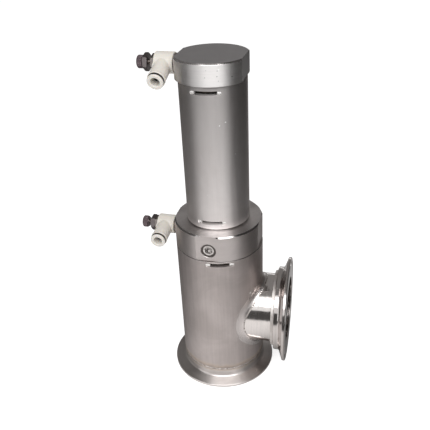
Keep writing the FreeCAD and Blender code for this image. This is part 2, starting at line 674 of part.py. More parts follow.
def saveFitting(name, flat_at, z, elbow_deg, nut_at):
    """Write every piece of one flow-control fitting."""
    pieces = {"stud": stud(), "port_washer": portWasher(), "swivel_seals": swivelSeals(),
              "elbow_body": elbowBody(), "tube_seal": tubeSeal(), "collet": collet(),
              "release_ring": releaseRing(), "hex_bush": hexBush(), "needle": needle(),
              "lock_nut": lockNut(nut_at), "knob": knob()}
    place = fittingPlacement(flat_at, z, elbow_deg)
    for piece, shape in pieces.items():
        placed = shape.copy()
        placed.Placement = place.multiply(placed.Placement)
        save(clamped(placed), name + "_" + piece)


def clamped(shape):
    """Turn an actuator piece to the angle at which it is clamped on the body."""
    placed = shape.copy()
    placed.rotate(ORIGIN, UP, ACTUATOR_TURN_DEG)
    return placed


def main():
    """Build every piece and write it."""
    os.makedirs("parts", exist_ok=True)
    save(inletFerrule(), "inlet_ferrule")
    save(bodyTube(), "body_tube")
    save(branchTube(), "branch_tube")
    save(outletFerrule(), "outlet_ferrule")
    save(clamped(bonnet()), "bonnet")
    save(lockWire(BODY_BORE_R, BODY_WIRE_R, BODY_WIRE_Z, BODY_SLOT_DEG), "bonnet_lock_wire")
    save(oRing(BODY_BORE_R, 3.53, 139), "bonnet_o_ring")
    save(barrel(), "barrel")
    save(lockWire(BARREL_BORE_R, BARREL_WIRE_R, BARREL_FOOT_WIRE_Z, BARREL_SLOT_DEG),
         "barrel_lock_wire")
    save(oRing(BARREL_BORE_R, 2.62, 190.2), "barrel_o_ring")
    save(clamped(endCap()), "end_cap")
    save(lockWire(BARREL_BORE_R, BARREL_WIRE_R, BARREL_HEAD_WIRE_Z, BARREL_SLOT_DEG),
         "end_cap_lock_wire")
    save(oRing(BARREL_BORE_R, 2.62, 301.4), "end_cap_o_ring")
    save(clamped(blankingPlug()), "blanking_plug")
    save(clamped(blankingPlugSeal()), "blanking_plug_seal")
    save(stemBush(), "stem_bush")
    save(stemSeal(), "stem_seal")
    save(stemCirclip(), "stem_circlip")
    save(clamped(diaphragm()), "diaphragm")
    save(clamped(diaphragmClampRing()), "diaphragm_clamp_ring")
    save(clamped(clampRingScrews()), "clamp_ring_screws")
    save(plugDisc(), "plug_disc")
    save(plugSealRing(), "plug_seal_ring")
    save(sealClampDisc(), "seal_clamp_disc")
    save(stem(), "stem")
    save(piston(), "piston")
    save(pistonSeal(), "piston_seal")
    save(pistonGuideRing(), "piston_guide_ring")
    save(pistonBoreSeal(), "piston_bore_seal")
    save(pistonNut(), "piston_nut")
    save(returnSpring(), "return_spring")
    saveFitting("upper", CAP_FLAT_AT, CAP_PORT_Z, UPPER_ELBOW_DEG, UPPER_NUT_AT)
    saveFitting("lower", COLLAR_FLAT_AT, COLLAR_PORT_Z, LOWER_ELBOW_DEG, LOWER_NUT_AT)


main()
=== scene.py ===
import bmesh
import bpy
from math import acos, asin, cos, degrees, pi, radians, sin, sqrt, tan
from mathutils import Matrix, Vector


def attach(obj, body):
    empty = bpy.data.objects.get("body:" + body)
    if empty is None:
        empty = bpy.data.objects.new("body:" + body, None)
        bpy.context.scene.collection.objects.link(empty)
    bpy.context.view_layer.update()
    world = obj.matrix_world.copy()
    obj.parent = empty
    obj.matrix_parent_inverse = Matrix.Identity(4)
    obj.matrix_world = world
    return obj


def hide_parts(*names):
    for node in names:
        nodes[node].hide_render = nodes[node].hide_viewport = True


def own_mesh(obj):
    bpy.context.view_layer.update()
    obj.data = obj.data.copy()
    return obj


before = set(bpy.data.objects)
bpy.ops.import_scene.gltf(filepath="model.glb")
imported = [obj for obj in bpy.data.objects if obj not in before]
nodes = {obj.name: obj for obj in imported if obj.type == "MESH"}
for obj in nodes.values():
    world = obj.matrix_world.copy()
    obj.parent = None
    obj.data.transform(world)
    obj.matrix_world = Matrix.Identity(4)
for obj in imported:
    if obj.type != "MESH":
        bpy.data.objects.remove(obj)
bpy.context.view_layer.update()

# Sanitary diaphragm valve with an air actuator. The body stands on Z, the side outlet points
# along +X and the fittings stand on -X. Lengths are millimetres and are turned into metres where
# the meshes are made. Only the studio and the camera are given in metres.
mm = 0.001
scene = bpy.context.scene

# three lock wires, each in a round groove that two pieces share, pulled out through a slot
barrelJoint = {"ring": 25.0, "groove": 1.65, "wire": 1.6, "turn": -91.5, "lift": 3.3,
               "slot": 3.3, "slotEdge": 0.45}
wireJoints = {
    "bonnet": {"height": 146.4, "ring": 38.5, "groove": 1.75, "wire": 1.7, "turn": -79.0,
               "lift": 2.2, "slot": 3.4, "slotEdge": 0.7},
    "foot": {**barrelJoint, "height": 184.7},
    "head": {**barrelJoint, "height": 307.6},
}
# threaded ports in the milled flats, by their distance from the axis and their height
ports = {
    "cap": {"flatAt": 29.0, "height": 323.5},
    "collar": {"flatAt": 40.8, "height": 161.3},
}
spigotGap = 0.05
actuatorTurn = -3.5  # the actuator sits a little turned against the branch
clampTurn = Matrix.Rotation(radians(actuatorTurn), 4, "Z")
alongX = Matrix.Rotation(radians(90), 4, "Y")


# Meshes

def polar(radius, angle, z=0.0):
    return radius * cos(angle), radius * sin(angle), z


def fullTurn(steps):
    return [2 * pi * k / steps for k in range(steps)]


def softCorners(corners, arcSteps=4):
    # a corner is (radius, height) or (radius, height, rounding)
    points = []
    for i, corner in enumerate(corners):
        here = Vector(corner[:2])
        if len(corner) < 3:
            points.append(here)
            continue
        before = Vector(corners[i - 1][:2]) - here
        after = Vector(corners[(i + 1) % len(corners)][:2]) - here
        cut = corner[2] / tan(before.angle(after) / 2)
        cut = min(cut, before.length * 0.48, after.length * 0.48)
        start = here + before.normalized() * cut
        end = here + after.normalized() * cut
        for k in range(arcSteps + 1):
            t = k / arcSteps
            points.append(start.lerp(here, t).lerp(here.lerp(end, t), t))
    return points


def arcCorners(center, radius, start, end, steps=10):
    points = []
    for k in range(steps + 1):
        angle = radians(start + (end - start) * k / steps)
        points.append((center[0] + radius * cos(angle), center[1] + radius * sin(angle)))
    return points


def boreGroove(joint):
    # half of a wire groove in a tube's bore, as part of its outline
    return arcCorners((joint["ring"], joint["height"]), joint["groove"], 90, -90)


def spigotGroove(joint):
    # the other half, in the spigot that fits the bore
    return arcCorners((joint["ring"] - spigotGap, joint["height"]), joint["groove"], -90, -270)


def columnAngles(steps, outline, flats):
    # even columns, and one more wherever a flat runs out into the round
    exact = []
    for turn, distance in flats:
        for radius in {round(p.x, 3) for p in outline if p.x > distance}:
            reach = acos(distance / radius)
            exact += [radians(turn) - reach, radians(turn) + reach]
    exact = sorted({round(a % (2 * pi), 5) for a in exact})
    even = [a for a in fullTurn(steps) if all(abs(a - b) > 0.004 for b in exact)]
    return sorted(even + exact)


def joinRings(bm, low, high):
    count = max(len(low), len(high))
    if count == 1:
        return
    for i in range(count):
        corners = [low[i % len(low)], low[(i + 1) % len(low)],
                   high[(i + 1) % len(high)], high[i % len(high)]]
        bm.faces.new(list(dict.fromkeys(corners)))


def ringForm(rings):
    # joins rings of points into a skin, and the last ring to the first
    bm = bmesh.new()
    made = [[bm.verts.new([c * mm for c in spot]) for spot in ring] for ring in rings]
    for low, high in zip(made, made[1:] + made[:1]):
        joinRings(bm, low, high)
    return bm


def turnedForm(corners, steps=96, flats=(), flutes=None):
    # revolves a closed outline about Z, trims it at flats and cuts flutes into its outside
    outline = softCorners(corners)
    angles = columnAngles(steps, outline, flats)
    rings = []
    for point in outline:
        if point.x < 0.001:
            rings.append([(0, 0, point.y)])
            continue
        ring = []
        for angle in angles:
            radius = point.x
            for turn, distance in flats:
                facing = cos(angle - radians(turn))
                if facing > 0.1:
                    radius = min(radius, distance / facing)
            if flutes and point.x > flutes["above"]:
                wave = 0.5 + 0.5 * cos(flutes["count"] * angle)
                radius -= flutes["depth"] * wave ** 2
            ring.append(polar(radius, angle, point.y))
        rings.append(ring)
    return ringForm(rings)


def sweptWire(points, radius, sides=16):
    # round wire along points, its ends slightly domed
    dome = [(-0.22, 0.604), (-0.1, 0.92), (0.0, 1.0)]  # shift and width as shares of the radius
    rings = []
    last = len(points) - 1
    for i, point in enumerate(points):
        ahead = (points[min(i + 1, last)] - points[max(i - 1, 0)]).normalized()
        side = ahead.cross(Vector((0, 0, 1))).normalized()
        upward = side.cross(ahead)
        places = [(0.0, 1.0)]
        if i == 0:
            places = dome
        elif i == last:
            places = [(-shift, share) for shift, share in dome[::-1]]
        for shift, share in places:
            middle = point + ahead * (shift * radius)
            rings.append([middle + (side * cos(angle) + upward * sin(angle)) * radius * share
                          for angle in fullTurn(sides)])
    start, end = (sum(ring, Vector()) / sides for ring in (rings[0], rings[-1]))
    return ringForm([[start], *rings, [end]])


def beadForm(bead, height):
    # filler where a tube along X meets a host round about Z. A shifted bead lies on the tube
    # alone, farther out. A ripple is (count, depth).
    host, tube, leg = bead["host"], bead["tube"], bead["leg"]
    shift, (count, depth) = bead.get("shift", 0.0), bead.get("ripple", (0, 0.0))
    across, buried = 9, 0.4
    rings = []
    for angle in fullTurn(bead["steps"]):
        outward = Vector((0, cos(angle), sin(angle)))
        foot = outward * tube
        foot.x = sqrt(host ** 2 - foot.y ** 2)
        normal = Vector((foot.x, foot.y, 0)).normalized()
        climb = (outward - normal * outward.dot(normal)).normalized()
        foot.x += shift
        onTube = foot + Vector((leg, 0, 0))
        if shift:
            onHost = foot - Vector((leg, 0, 0))
            normal = Vector()
        else:
            onHost = foot + climb * leg * bead["spread"]
            flat = Vector((onHost.x, onHost.y, 0))
            onHost = flat.normalized() * host + Vector((0, 0, onHost.z))
        beat = sin(count * angle) + 0.5 * sin(count * 0.37 * angle + 1.3)
        out = (normal + outward).normalized()
        corner = foot + out * (bead["swell"] + depth * beat)
        ring = [foot - out * buried]
        for k in range(across):
            t = k / (across - 1)
            ring.append(onTube.lerp(corner, t).lerp(corner.lerp(onHost, t), t))
        rings.append([spot + Vector((0, 0, height)) for spot in ring])
    return ringForm(rings)


def threadForm(thread):
    # rod with a helical thread
    columns, turnSteps = 40, 8
    start, end, pitch = thread["start"], thread["end"], thread["pitch"]
    steps = int((end - start) / pitch * turnSteps)
    rings = [[(0, 0, start)]]
    for i in range(steps + 1):
        z = start + (end - start) * i / steps
        ring = []
        for angle in fullTurn(columns):
            phase = (z / pitch - angle / (2 * pi)) % 1.0
            reach = thread["radius"] - thread["depth"] * abs(2 * phase - 1)
            ring.append(polar(reach, angle, z))
        rings.append(ring)
    return ringForm([*rings, [(0, 0, end)]])


def hexForm(hexagon, start, end):
    # hexagon prism whose corners are turned down to a chamfer at both ends
    chamfer, bore, soft = hexagon["chamfer"], hexagon["bore"], 0.12
    edge = hexagon["acrossFlats"] / sqrt(3) + 0.05
    corners = [(bore, start), (edge - chamfer, start, soft), (edge, start + chamfer * 0.6, soft),
               (edge, end - chamfer * 0.6, soft), (edge - chamfer, end, soft),
               (bore + 0.3, end, 0.1), (bore, end - 0.3)]
    flats = [(30 + 60 * i, hexagon["acrossFlats"] / 2) for i in range(6)]
    return turnedForm(corners, flats=flats)


def slotTool(outer, joint):
    # long slot with round ends, square to the wall, and an edge break that follows the wall
    columns, halfLength, depth, clear = 40, 13.0, 14, 1.2
    edge = joint["slotEdge"]
    bm = bmesh.new()
    levels = []
    for grow, above in ((edge + clear, clear), (0.0, -edge), (0.0, None)):
        half = joint["slot"] / 2 + grow * 0.6
        reach = halfLength + grow
        upper, lower = [], []
        for k in range(columns + 1):
            x = -reach * cos(pi * k / columns)
            over = max(0.0, abs(x) - (reach - half))
            z = sqrt(max(0.0, half ** 2 - over ** 2))
            wall = sqrt(outer ** 2 - x ** 2)
            y = -(outer - depth) if above is None else -(wall + above)
            upper.append(bm.verts.new((x * mm, y * mm, (joint["height"] + z) * mm)))
            lower.append(upper[-1] if z < 0.01 else
                         bm.verts.new((x * mm, y * mm, (joint["height"] - z) * mm)))
        levels.append((upper, lower))
    for upper, lower in (levels[0], levels[-1]):
        for k in range(columns):
            quad = [upper[k], upper[k + 1], lower[k + 1], lower[k]]
            bm.faces.new(list(dict.fromkeys(quad)))
    for near, far in zip(levels, levels[1:]):
        joinRings(bm, near[0] + near[1][-2:0:-1], far[0] + far[1][-2:0:-1])
    return asObject("slotTool", bm, Matrix.Rotation(radians(joint["turn"] + 90), 4, "Z"))


def roundTool(radius, start, end, matrix):
    bm = turnedForm([(0, start), (radius, start), (radius, end), (0, end)])
    return asObject("roundTool", bm, matrix)


def portTool(port, direction):
    # threaded port square to its flat, with a countersunk mouth
    corners = [(0, -15), (2.5, -15), (6.58, -14), (6.58, -0.9), (7.4, 0), (7.4, 1), (0, 1)]
    direction = Vector(direction)
    middle = direction * port["flatAt"] * mm + Vector((0, 0, port["height"] * mm))
    facing = Matrix.Translation(middle)
    facing = facing @ direction.to_track_quat("Z", "Y").to_matrix().to_4x4()
    return asObject("portTool", turnedForm(corners), clampTurn @ facing)


# Pieces

def addObject(name, data):
    made = bpy.data.objects.new(name, data)
    scene.collection.objects.link(made)
    return made


def asObject(name, bm, matrix=None):
    bmesh.ops.recalc_face_normals(bm, faces=bm.faces[:])
    mesh = bpy.data.meshes.new(name)
    bm.to_mesh(mesh)
    bm.free()
    if matrix:
        mesh.transform(matrix)
    return addObject(name, mesh)


def cutAway(piece, cutters):
    for cutter in cutters:
        cut = piece.modifiers.new("cut", "BOOLEAN")
        cut.operation = "DIFFERENCE"
        cut.solver = "EXACT"
        cut.object = cutter
    view = bpy.context.evaluated_depsgraph_get()
    cutMesh = bpy.data.meshes.new_from_object(piece.evaluated_get(view))
    piece.modifiers.clear()
    piece.data = cutMesh
    for cutter in cutters:
        bpy.data.objects.remove(cutter)


def makePiece(name, bm, look, slotName, *replaced, rides="valve_body", place=None, cuts=(),
              sharp=32):
    # cuts, smooths and finishes one piece and puts it on its body
    piece = asObject(name, bm, place)
    if cuts:
        cutAway(piece, cuts)
    piece.data.shade_smooth()
    piece.data.set_sharp_from_angle(angle=radians(sharp))
    evened = piece.modifiers.new("evenNormals", "WEIGHTED_NORMAL")
    evened.keep_sharp = True
    piece.data.materials.clear()
    piece.data.materials.append(materials[look])
    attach(piece, rides)
    if replaced:
        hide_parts(*replaced)
    return piece


def crispFlats(piece, flats):
    # keeps the line between a milled flat and the round beside it
    facing = [Vector(polar(1, radians(turn))) for turn, distance in flats]
    bm = bmesh.new()
    bm.from_mesh(piece.data)
    for edge in bm.edges:
        onFlat = [any(face.normal.dot(way) > 0.9999 for way in facing)
                  for face in edge.link_faces]
        if len(set(onFlat)) == 2:
            edge.smooth = False
    bm.to_mesh(piece.data)
    bm.free()


def paintWhere(piece, look, chosen):
    piece.data.materials.append(materials[look])
    for face in piece.data.polygons:
        if chosen(face):
            face.material_index = len(piece.data.materials) - 1


def paintRim(piece, look, low, high, leastUp, mostUp):
    # faces between two heights whose normal's rise lies within two bounds
    paintWhere(piece, look, lambda face: low * mm < face.center.z < high * mm
               and leastUp < face.normal.z < mostUp)


def paintGrooveShade(piece, joint):
    # painted shade: the inside of a wire groove, where it lies in shadow behind its slot, gets a
    # near-black copy of the steel with brownish smudges
    paintWhere(piece, "grooveShadeSteel",
               lambda face: abs(face.center.z - joint["height"] * mm) < 1.9 * mm
               and face.center.xy.length < (joint["ring"] + 0.02) * mm)


# Shader tools

def addNode(tree, kind, values=None, **settings):
    # a value that is another node's output is linked, and any other is set
    made = tree.nodes.new(kind)
    for key, value in settings.items():
        setattr(made, key, value)
    for socket, value in (values or {}).items():
        if isinstance(value, bpy.types.NodeSocket):
            tree.links.new(value, made.inputs[socket])
        else:
            made.inputs[socket].default_value = value
    return made


def mathNode(tree, operation, *values):
    return addNode(tree, "ShaderNodeMath", dict(enumerate(values)), operation=operation).outputs[0]


def times(tree, first, second):
    return mathNode(tree, "MULTIPLY", first, second)


def vectorNode(tree, operation, output, *values):
    return addNode(tree, "ShaderNodeVectorMath", dict(enumerate(values)),
                   operation=operation).outputs[output]


def noiseNode(tree, vector, scale, detail, **more):
    values = {"Vector": vector, "Scale": scale, "Detail": detail, **more}
    return addNode(tree, "ShaderNodeTexNoise", values).outputs["Fac"]


def mapRange(tree, value, fromMin, fromMax, toMin=0.0, toMax=1.0, smooth=False):
    return addNode(tree, "ShaderNodeMapRange",
                   {"Value": value, "From Min": fromMin, "From Max": fromMax,
                    "To Min": toMin, "To Max": toMax},
                   interpolation_type="SMOOTHSTEP" if smooth else "LINEAR").outputs[0]


def joinColor(tree, red, green, blue):
    return addNode(tree, "ShaderNodeCombineColor", {0: red, 1: green, 2: blue}).outputs[0]


def mixColor(tree, amount, first, second, blend="MIX"):
    # the mix node keeps its two colours in sockets 6 and 7
    return addNode(tree, "ShaderNodeMix", {"Factor": amount, 6: first, 7: second},
                   data_type="RGBA", blend_type=blend).outputs[2]


def layColor(tree, base, mask, amount, over):
    # lays a colour over another by an amount where the mask is
    return mixColor(tree, times(tree, mask, amount), base, over)


def rgb(color):
    return (*color, 1.0)


effects = {}


def makeEffect(name, make, **inputs):
    # the first input of each is the place, and a tuple makes a vector input
    group = effects[name] = bpy.data.node_groups.new(name, "ShaderNodeTree")
    group.interface.new_socket("Vector", in_out="INPUT", socket_type="NodeSocketVector")
    for label, value in inputs.items():
        kind = "NodeSocketVector" if isinstance(value, tuple) else "NodeSocketFloat"
        socket = group.interface.new_socket(label, in_out="INPUT", socket_type=kind)
        socket.default_value = value
    made = make(group, group.nodes.new("NodeGroupInput").outputs)
    for label in made:
        kind = "NodeSocketColor" if label == "Color" else "NodeSocketFloat"
        group.interface.new_socket(label, in_out="OUTPUT", socket_type=kind)
    end = group.nodes.new("NodeGroupOutput").inputs
    for label, value in made.items():
        group.links.new(value, end[label])


def longGrain(tree, given):
    # scratches: noise squeezed along one direction
    placed = vectorNode(tree, "MULTIPLY", 0, given["Vector"], given["Squeeze"])
    return {"Value": noiseNode(tree, placed, given["Scale"], 3.0, Roughness=0.65)}


def smudges(tree, given):
    # cloudy patches left by handling and cleaning
    cloud = noiseNode(tree, given["Vector"], given["Scale"], 4.0, Roughness=0.6, Distortion=0.6)
    low = mathNode(tree, "SUBTRACT", 0.5, given["Spread"])
    high = mathNode(tree, "ADD", 0.5, given["Spread"])
    return {"Mask": mapRange(tree, cloud, low, high, smooth=True)}


def nicks(tree, given):
    # small scattered dents and specks
    cells = addNode(tree, "ShaderNodeTexVoronoi",
                    {"Vector": given["Vector"], "Scale": given["Scale"], "Randomness": 1.0}).outputs
    near = mapRange(tree, cells["Distance"], given["Size"], times(tree, given["Size"], 0.4))
    picked = addNode(tree, "ShaderNodeSeparateColor", {"Color": cells["Color"]}).outputs[0]
    return {"Mask": times(tree, near, mathNode(tree, "LESS_THAN", picked, given["Share"]))}


def edgeWear(tree, given):
    # rubbed edges: where a bevelled normal leaves the true one, broken up by noise
    soft = addNode(tree, "ShaderNodeBevel", {"Radius": given["Reach"]}, samples=4).outputs[0]
    sharp = tree.nodes.new("ShaderNodeNewGeometry").outputs["Normal"]
    edge = mapRange(tree, vectorNode(tree, "DOT_PRODUCT", "Value", soft, sharp), 0.97, 0.8)
    patch = noiseNode(tree, given["Vector"], given["Scale"], 2.0)
    return {"Mask": times(tree, edge, mapRange(tree, patch, 0.35, 0.6, 0.3, 1.0))}


def heatTint(tree, given):
    # oxide colours beside a weld, from the distance to it
    wobble = noiseNode(tree, given["Vector"], 180.0, 3.0)
    share = mathNode(tree, "DIVIDE", given["Distance"], given["Width"])
    share = mathNode(tree, "ADD", share, mathNode(tree, "MULTIPLY_ADD", wobble, 0.7, -0.35))
    ramp = addNode(tree, "ShaderNodeValToRGB", {"Fac": share})
    stops = ramp.color_ramp.elements
    stops[0].color, stops[1].color = (0.30, 0.24, 0.21, 1), (0.62, 0.59, 0.57, 1)
    stops.new(0.25).color = (0.42, 0.33, 0.26, 1)
    stops.new(0.5).color = (0.56, 0.46, 0.36, 1)
    return {"Color": ramp.outputs["Color"],
            "Mask": mapRange(tree, share, 0.35, 1.0, 1.0, 0.0, smooth=True)}


def nickAt(tree, given):
    # one nick of a given size at a given place
    shaken = mathNode(tree, "ADD", noiseNode(tree, given["Vector"], 900.0, 1.0), 0.5)
    away = vectorNode(tree, "DISTANCE", "Value", given["Vector"], given["Place"])
    return {"Mask": mapRange(tree, times(tree, away, shaken), given["Size"],
                             times(tree, given["Size"], 0.5))}


makeEffect("nickAt", nickAt, Place=(0, 0, 0), Size=0.0006)
makeEffect("longGrain", longGrain, Squeeze=(1, 1, 1), Scale=900.0)
makeEffect("smudges", smudges, Scale=30.0, Spread=0.15)
makeEffect("nicks", nicks, Scale=120.0, Size=0.12, Share=0.2)
makeEffect("edgeWear", edgeWear, Reach=0.0005, Scale=400.0)
makeEffect("heatTint", heatTint, Distance=0.0, Width=0.006)


def effect(tree, name, place, **values):
    values["Vector"] = place
    return addNode(tree, "ShaderNodeGroup", values, node_tree=effects[name]).outputs


materials = {}


def startMaterial(name):
    made = materials[name] = bpy.data.materials.new(name)
    made.use_nodes = True
    made.node_tree.nodes.clear()
    place = made.node_tree.nodes.new("ShaderNodeTexCoord").outputs["Object"]
    return made.node_tree, place


def addShader(tree, values):
    shader = addNode(tree, "ShaderNodeBsdfPrincipled", values)
    addNode(tree, "ShaderNodeOutputMaterial", {0: shader.outputs[0]})


# Steel

steelLook = {
    "color": (0.60, 0.565, 0.55), "stain": (0.52, 0.48, 0.465), "edge": (0.85, 0.83, 0.81),
    "nickColor": (0.9, 0.9, 0.9), "squeeze": (1.0, 1.0, 0.03), "grainScale": 420.0,
    "smudgeScale": 28.0, "smudge": 0.5, "smudgeRough": 0.05, "streak": 0.05,
    "nickScale": 90.0, "nickShare": 0.02, "nickDepth": 2.0, "wear": 0.5,
    "roughness": 0.36, "roughSpread": 0.05, "bump": 0.03, "anisotropy": 0.7, "axis": "Z",
    "fades": (), "marks": (), "weld": None, "wave": 0.0,
}
evenGrain = {"squeeze": (1.0, 1.0, 1.0), "anisotropy": 0.0}
turnedEdge = {"squeeze": (0.1, 0.1, 1.0), "anisotropy": 0.0, "smudgeRough": 0.03, "wear": 0.0}
polished = {"squeeze": (1.0, 0.05, 0.05), "anisotropy": 0.2, "axis": "X", "roughness": 0.1,
            "roughSpread": 0.03, "bump": 0.02, "wave": 0.35}


def steel(name, *looks, **changes):
    # a painted-light band is (low, high, level at low, level at high) and scales the colour by
    # height, a mark (place, size, level) and a weld (height, width of its tint, amount)
    look = dict(steelLook)
    for more in (*looks, changes):
        look.update(more)
    tree, place = startMaterial(name)
    grain = effect(tree, "longGrain", place, Squeeze=look["squeeze"],
                   Scale=look["grainScale"])["Value"]
    smudge = effect(tree, "smudges", place, Scale=look["smudgeScale"], Spread=0.2)["Mask"]
    nick = effect(tree, "nicks", place, Scale=look["nickScale"], Size=0.14,
                  Share=look["nickShare"])["Mask"]
    wear = effect(tree, "edgeWear", place)["Mask"]
    color = layColor(tree, rgb(look["color"]), smudge, look["smudge"], rgb(look["stain"]))
    streak = mapRange(tree, grain, 0.3, 0.7, 1 - look["streak"], 1 + look["streak"])
    upright = addNode(tree, "ShaderNodeSeparateXYZ", {0: place}).outputs[2]
    # painted light: the colour is scaled up or down by height
    for low, high, lowLevel, highLevel in look["fades"]:
        level = mapRange(tree, upright, low * mm, high * mm, lowLevel, highLevel)
        streak = times(tree, streak, level)
    color = mixColor(tree, 1.0, color, joinColor(tree, streak, streak, streak), "MULTIPLY")
    if look["weld"]:
        height, width, amount = look["weld"]
        away = mathNode(tree, "ABSOLUTE", mathNode(tree, "SUBTRACT", upright, height * mm))
        tint = effect(tree, "heatTint", place, Distance=away, Width=width * mm)
        color = layColor(tree, color, tint["Mask"], amount, tint["Color"])
    color = layColor(tree, color, nick, 0.8, rgb(look["nickColor"]))
    for spot, size, level in look["marks"]:
        mark = effect(tree, "nickAt", place, Place=[c * mm for c in spot], Size=size * mm)
        color = mixColor(tree, mark["Mask"], color, (level, level, level, 1))
    color = layColor(tree, color, wear, look["wear"], rgb(look["edge"]))
    rough = mapRange(tree, grain, 0.25, 0.75, look["roughness"] - look["roughSpread"],
                     look["roughness"] + look["roughSpread"])
    rough = mathNode(tree, "ADD", rough, times(tree, smudge, look["smudgeRough"]))
    bump = {"Height": mathNode(tree, "MULTIPLY_ADD", nick, -look["nickDepth"], grain),
            "Strength": look["bump"], "Distance": 0.0001}
    if look["wave"]:
        # slow waves that the polishing wheel leaves, so that reflections wander
        slow = effect(tree, "longGrain", place, Squeeze=(1.0, 0.3, 0.3), Scale=70.0)["Value"]
        bump["Normal"] = addNode(tree, "ShaderNodeBump", {
            "Height": slow, "Strength": 1.0, "Distance": look["wave"] * mm}).outputs[0]
    values = {"Base Color": color, "Roughness": rough, "Metallic": 1.0,
              "Normal": addNode(tree, "ShaderNodeBump", bump).outputs[0]}
    if look["anisotropy"]:
        # turned a quarter, so that highlights stretch along the axis
        around = addNode(tree, "ShaderNodeTangent", direction_type="RADIAL", axis=look["axis"])
        values.update({"Tangent": around.outputs[0], "Anisotropic": look["anisotropy"],
                       "Anisotropic Rotation": 0.25})
    addShader(tree, values)


steel("bodySteel", color=(0.545, 0.495, 0.48), stain=(0.45, 0.405, 0.39), roughness=0.48,
      streak=0.08, smudge=0.8, anisotropy=0.3, weld=(16.0, 8.0, 0.5))
steel("rootSteel", color=(0.68, 0.635, 0.62), roughness=0.27, streak=0.04, smudge=0.6,
      anisotropy=0.0)
# painted light: the barrel brightens towards its foot, with a painted reflection of the collar's
# highlight just above the foot
steel("barrelSteel", color=(0.66, 0.63, 0.62), roughness=0.53, smudge=0.3, nickShare=0.0,
      grainScale=700.0, streak=0.03, fades=[(200, 302, 1.2, 0.76), (179, 185, 1.25, 1.0)],
      marks=[((14.9, -26.0, 282.2), 0.8, 1.0), ((10.1, -28.2, 279.6), 0.6, 1.0),
             ((21.6, -20.8, 251.3), 0.5, 1.0), ((-3.0, -29.8, 214.0), 0.35, 1.0)])
steel("capSteel", color=(0.90, 0.88, 0.87), stain=(0.82, 0.80, 0.79), roughness=0.58,
      anisotropy=0.9, squeeze=(0.06, 0.06, 1.0),
      marks=[((11.8, -30.8, 328.0), 0.8, 1.0), ((22.2, -24.4, 319.5), 0.8, 1.0),
             ((27.9, -17.6, 326.4), 0.7, 1.0), ((10.6, -31.3, 326.9), 0.5, 0.35),
             ((10.3, -31.3, 322.4), 0.55, 0.45), ((11.2, -31.0, 318.7), 0.45, 0.5),
             ((1.8, -33.0, 327.5), 0.35, 0.5), ((0.6, -33.0, 321.7), 0.45, 0.5),
             ((21.3, -25.2, 320.9), 0.5, 0.2)])
# painted shade: a darker copy of the cap steel for its up-facing faces
steel("shadedCapTopSteel", color=(0.52, 0.505, 0.51), stain=(0.47, 0.455, 0.46), roughness=0.45,
      anisotropy=0.0, squeeze=(0.5, 0.5, 1.0), streak=0.03)
# painted shade: a darker copy of the cap steel, with a milled grain, for its sideways flats
steel("shadedCapFlatSteel", color=(0.42, 0.41, 0.41), stain=(0.36, 0.35, 0.35), roughness=0.38,
      anisotropy=0.0, squeeze=(1.0, 0.05, 1.0))
steel("collarSteel", color=(0.66, 0.61, 0.595), roughness=0.42, streak=0.03, anisotropy=0.75,
      squeeze=(0.05, 0.05, 1.0))
# painted highlight: a much lighter copy of the collar steel for its up-facing top, so the turned
# wedge highlight comes out brighter
steel("litCollarTopSteel", evenGrain, color=(0.95, 0.91, 0.90), roughness=0.33, streak=0.03,
      anisotropy=0.92)
steel("ferruleSteel", color=(0.71, 0.67, 0.65), roughness=0.29, smudge=0.6, anisotropy=0.9,
      squeeze=(0.05, 0.05, 1.0), weld=(16.0, 5.0, 0.5))
steel("outletSteel", polished, color=(0.76, 0.72, 0.70), stain=(0.62, 0.58, 0.55), smudge=0.3)
steel("hubSteel", polished, color=(0.63, 0.59, 0.575), stain=(0.48, 0.445, 0.42), smudge=0.4,
      streak=0.12)
steel("weldSteel", evenGrain, color=(0.84, 0.80, 0.77), stain=(0.16, 0.13, 0.11), roughness=0.25,
      smudgeScale=420.0, smudge=1.0, bump=0.2)
# painted shade: a darker, glossier copy of the steel for edge rounds, so chamfers and joints read
# as dark lines
steel("shadedRimSteel", turnedEdge, color=(0.42, 0.40, 0.39), stain=(0.36, 0.34, 0.33), roughness=0.14,
      roughSpread=0.04)
# painted shade: a darker, glossier copy of the cap steel for its top rounding
steel("shadedCapRimSteel", turnedEdge, color=(0.74, 0.71, 0.70), roughness=0.2)
steel("weldRingSteel", evenGrain, color=(0.76, 0.73, 0.71), stain=(0.52, 0.46, 0.42),
      roughness=0.5, smudgeScale=200.0, bump=0.1)
# painted shade for the insides of wire grooves: near-black steel with brownish smudges
steel("grooveShadeSteel", evenGrain, color=(0.05, 0.045, 0.04), stain=(0.26, 0.23, 0.19),
      smudgeScale=110.0, smudge=0.9, roughness=0.55, wear=0.0, nickShare=0.0)
steel("plugSteel", evenGrain, color=(0.76, 0.73, 0.71), stain=(0.3, 0.27, 0.26), smudgeScale=260.0,
      roughness=0.3, wear=0.9)
# painted shade inside the plug's key socket: near-black steel broken by pale flecks that are
# painted glints
steel("socketSteel", evenGrain, color=(0.03, 0.026, 0.024), stain=(0.85, 0.82, 0.80),
      smudgeScale=460.0, smudge=1.0, roughness=0.3)
steel("wireSteel", evenGrain, color=(0.97, 0.96, 0.95), stain=(0.85, 0.83, 0.81), roughness=0.75)
steel("brightSteel", color=(0.72, 0.70, 0.68), roughness=0.24, anisotropy=0.0,
      squeeze=(0.15, 0.15, 1.0), grainScale=1400.0, nickShare=0.0, bump=0.01)
print("steel materials made")


# Moulded and plated finishes

mouldedLook = {
    "edge": (0.88, 0.85, 0.80), "smudgeScale": 160.0, "smudge": 0.4, "wear": 0.1,
    "roughness": 0.38, "metallic": 0.0, "translucency": 0.0,
}


